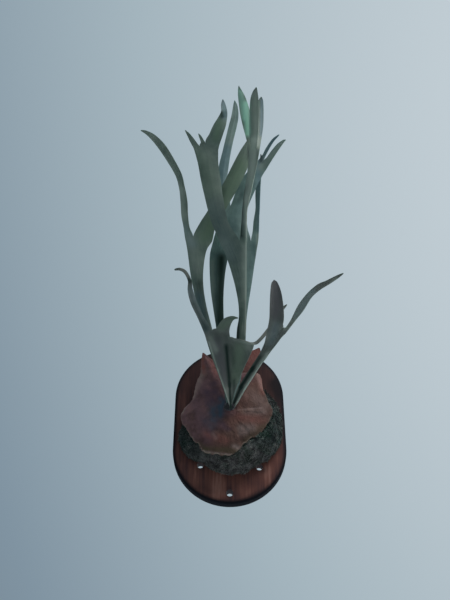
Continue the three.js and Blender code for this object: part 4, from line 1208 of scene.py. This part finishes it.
# %% One tuft
TUFT_BLADES = 3
TUFT_LONG = 3.0
TUFT_SUNK = 0.5
tuft_points = []
tuft_faces = []
tuft_tip = []
for blade in range(TUFT_BLADES):
    angle = blade * 2 * math.pi / TUFT_BLADES + 0.3
    lean = (math.cos(angle), math.sin(angle))
    across = (-math.sin(angle), math.cos(angle))
    a = len(tuft_points)
    for up, out, half in ((0.0, 0.16, 0.4), (0.55, 0.72, 0.38)):
        for sign in (-1, 1):
            tuft_points.append((out * lean[0] + sign * half * across[0],
                                out * lean[1] + sign * half * across[1], TUFT_LONG * up - TUFT_SUNK))
    tuft_points.append((1.6 * lean[0], 1.6 * lean[1], 2.5))
    tuft_points.append((0.36 * lean[0], 0.36 * lean[1], 1.0))
    tuft_tip += [0.0, 0.0, 0.55, 0.55, 1.0, 0.4]
    tuft_faces.append((a, a + 1, a + 3, a + 2))
    for i, j in ((0, 2), (2, 4), (4, 3), (3, 1), (1, 0)):
        tuft_faces.append((a + i, a + j, a + 5))
    tuft_faces.append((a + 2, a + 3, a + 4))
tuft = make_piece("one_tuft", tuft_points, tuft_faces, moss, {"tip": tuft_tip})
print("tuft faces:", len(tuft_faces))

# %% [markdown]
# A Geometry Nodes tree scatters the tufts from a fixed seed. They stand on end, turned at
# random, and noise makes them swell in clumps, as cushion moss does. Particles or hair would
# be the usual way, but a real mesh exports as it is.

# %% The scattering tree
scatter, given = new_tree("Scatter tufts", {
    "Geometry": "Geometry", "Tuft": "Object", "Tufts per square metre": "Float", "Smallest": "Float",
    "Largest": "Float", "Clumps per metre": "Float", "Seed": "Int", "Finish": "Material",
})
dots = add_node(scatter, "GeometryNodeDistributePointsOnFaces", {
    "Mesh": given["Geometry"], "Density": given["Tufts per square metre"], "Seed": given["Seed"],
}, "Points")
one = add_node(scatter, "GeometryNodeObjectInfo", {"Object": given["Tuft"]}, "Geometry")
sizes = add_node(scatter, "FunctionNodeRandomValue",
                 {2: given["Smallest"], 3: given["Largest"], "Seed": given["Seed"]}, 1, data_type="FLOAT")
spin = add_node(scatter, "FunctionNodeRandomValue",
                {0: (-0.5, -0.5, 0.0), 1: (0.5, 0.5, 6.283), "Seed": 5}, data_type="FLOAT_VECTOR")
stood = add_node(scatter, "GeometryNodeInstanceOnPoints", {
    "Points": dots, "Instance": one, "Rotation": dots.node.outputs["Rotation"], "Scale": sizes,
})
clumps = add_node(scatter, "ShaderNodeTexNoise", {
    "Vector": add_node(scatter, "GeometryNodeInputPosition"), "Scale": given["Clumps per metre"],
    "Detail": 1.0,
})
swells = add_node(scatter, "ShaderNodeMapRange", {0: clumps, 1: 0.38, 2: 0.62, 3: 0.6, 4: 1.45})
swollen = add_node(scatter, "GeometryNodeScaleInstances", {"Instances": stood, "Scale": swells})
turned = add_node(scatter, "GeometryNodeRotateInstances", {"Instances": swollen, "Rotation": spin})
real = add_node(scatter, "GeometryNodeRealizeInstances", {0: turned})
done = add_node(scatter, "GeometryNodeSetMaterial", {"Geometry": real, "Material": given["Finish"]})
add_node(scatter, "NodeGroupOutput", {0: done})
print("scattering tree nodes:", len(scatter.nodes))

# %% Scatter the moss
run_tree(tufts, scatter, {
    "Tuft": tuft, "Tufts per square metre": 210000.0, "Smallest": 0.6, "Largest": 1.4,
    "Clumps per metre": 90.0, "Seed": 3, "Finish": moss,
})
seat(tufts, "moss")

# %% [markdown]
# The crown is a small furry knob. The CAD node has a socket for each frond's foot, which would
# show as dark slots, so the fine crown is a plain knob with soft lumps, and brown scales are
# scattered over it by the same tree, smaller and closer.

# %% The crown
crown_low, crown_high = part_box("crown_bud")
crown_middle = (crown_low + crown_high) / 2
crown_half = (crown_high - crown_low) / 2
knob = bmesh.new()
bmesh.ops.create_icosphere(knob, subdivisions=5, radius=1)
for vert in knob.verts:
    lump = 0.66 + 0.05 * noise.noise(vert.co * 3)
    vert.co = crown_middle + Vector([vert.co[i] * crown_half[i] * lump for i in range(3)])
knob_mesh = bpy.data.meshes.new("furry_crown")
knob.to_mesh(knob_mesh)
knob.free()
knob_mesh.shade_smooth()
knob_mesh.materials.append(fur)
crown = put("furry_crown", knob_mesh)
scales = put("crown_scales", knob_mesh.copy())
run_tree(scales, scatter, {
    "Tuft": tuft, "Tufts per square metre": 500000.0, "Smallest": 0.3, "Largest": 0.55,
    "Clumps per metre": 20.0, "Seed": 8, "Finish": fur,
})
seat(crown, "crown", "crown_bud")
seat(scales, "crown")
bpy.data.objects.remove(tuft)

# %% [markdown]
# The stage: a pale floor well below the board, a pale cool backdrop from the world, a large
# soft light from the upper right, and a weak one from above and behind. A window's light is
# soft because the window is large, so both are squares a metre wide.

# %% Floor and backdrop
floor_material, tree, shader = new_material("Pale plaster floor", {
    "Roughness": 0.9, "IOR": 1.45, "Base Color": "#c9d3d8",
})
bpy.ops.mesh.primitive_plane_add(size=60, location=(0, 0, -0.8))
floor = bpy.context.object
floor.name = "stage_floor"
floor.data.materials.append(floor_material)
floor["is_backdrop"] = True

scene = bpy.context.scene
world = bpy.data.worlds.new("Pale room")
world.use_nodes = True
scene.world = world
sky = world.node_tree
ray = add_node(sky, "ShaderNodeTexCoord", give="Generated")
slant = add_node(sky, "ShaderNodeVectorMath", {0: ray, 1: (1.3, 0.5, 0.845)}, "Value",
                 operation="DOT_PRODUCT")
glow = add_node(sky, "ShaderNodeMapRange", {0: slant, 1: -0.17, 2: 1.33})
room = add_node(sky, "ShaderNodeValToRGB", {0: glow}, stops=[
    (0.0, "#64717b"), (0.333, "#8093a1"), (0.667, "#a4b5be"), (1.0, "#c0ccd3"),
])
sky.links.new(room, sky.nodes["Background"].inputs["Color"])
sky.nodes["Background"].inputs["Strength"].default_value = 1.0
print("staged on", floor.name)

# %% Lights
for name, spot, aim, watts, colour in (
    ("Window", (1.1, -0.9, 1.5), (0, -0.1, 0.15), 24, "#f2f5ff"),
    ("Sky above", (-0.2, 0.7, 1.7), (0, -0.15, 0.4), 10, "#eaf2ff"),
):
    lamp = bpy.data.lights.new(name, "AREA")
    lamp.shape = "SQUARE"
    lamp.size = 1.0
    lamp.energy = watts
    lamp.color = linear(colour)[:3]
    light = put(name, lamp)
    light.location = spot
    light.rotation_euler = (Vector(aim) - Vector(spot)).to_track_quat("-Z", "Y").to_euler()
    print(name, "gives", watts, "watts")

# %% [markdown]
# The camera stands at the viewing point of the front sheet and looks up along its axis. Its
# lens follows from the sheet's height of 600 steps, so what is drawn on the sheet shows there.

# %% Camera
FILM = 36
lens = bpy.data.cameras.new("Viewing camera")
lens.sensor_fit = "VERTICAL"
lens.sensor_height = FILM
lens.lens = FOCUS / (2 * SHEET_MIDDLE[1]) * FILM
camera = put("Viewing camera", lens)
camera.location = EYE * MM
camera.rotation_euler = (math.pi / 2 + LEAN, 0, 0)
scene.camera = camera
scene.view_settings.view_transform = "Standard"
scene.view_settings.look = "None"
print("camera at", [round(v, 3) for v in camera.location], "lens", round(lens.lens, 1), "mm")

# %% [markdown]
# Last, the finished piece's box is measured and printed.

# %% Measure and finish
low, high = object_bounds()
print("made box, mm:", [round(v / MM, 1) for v in (*low, *high)])
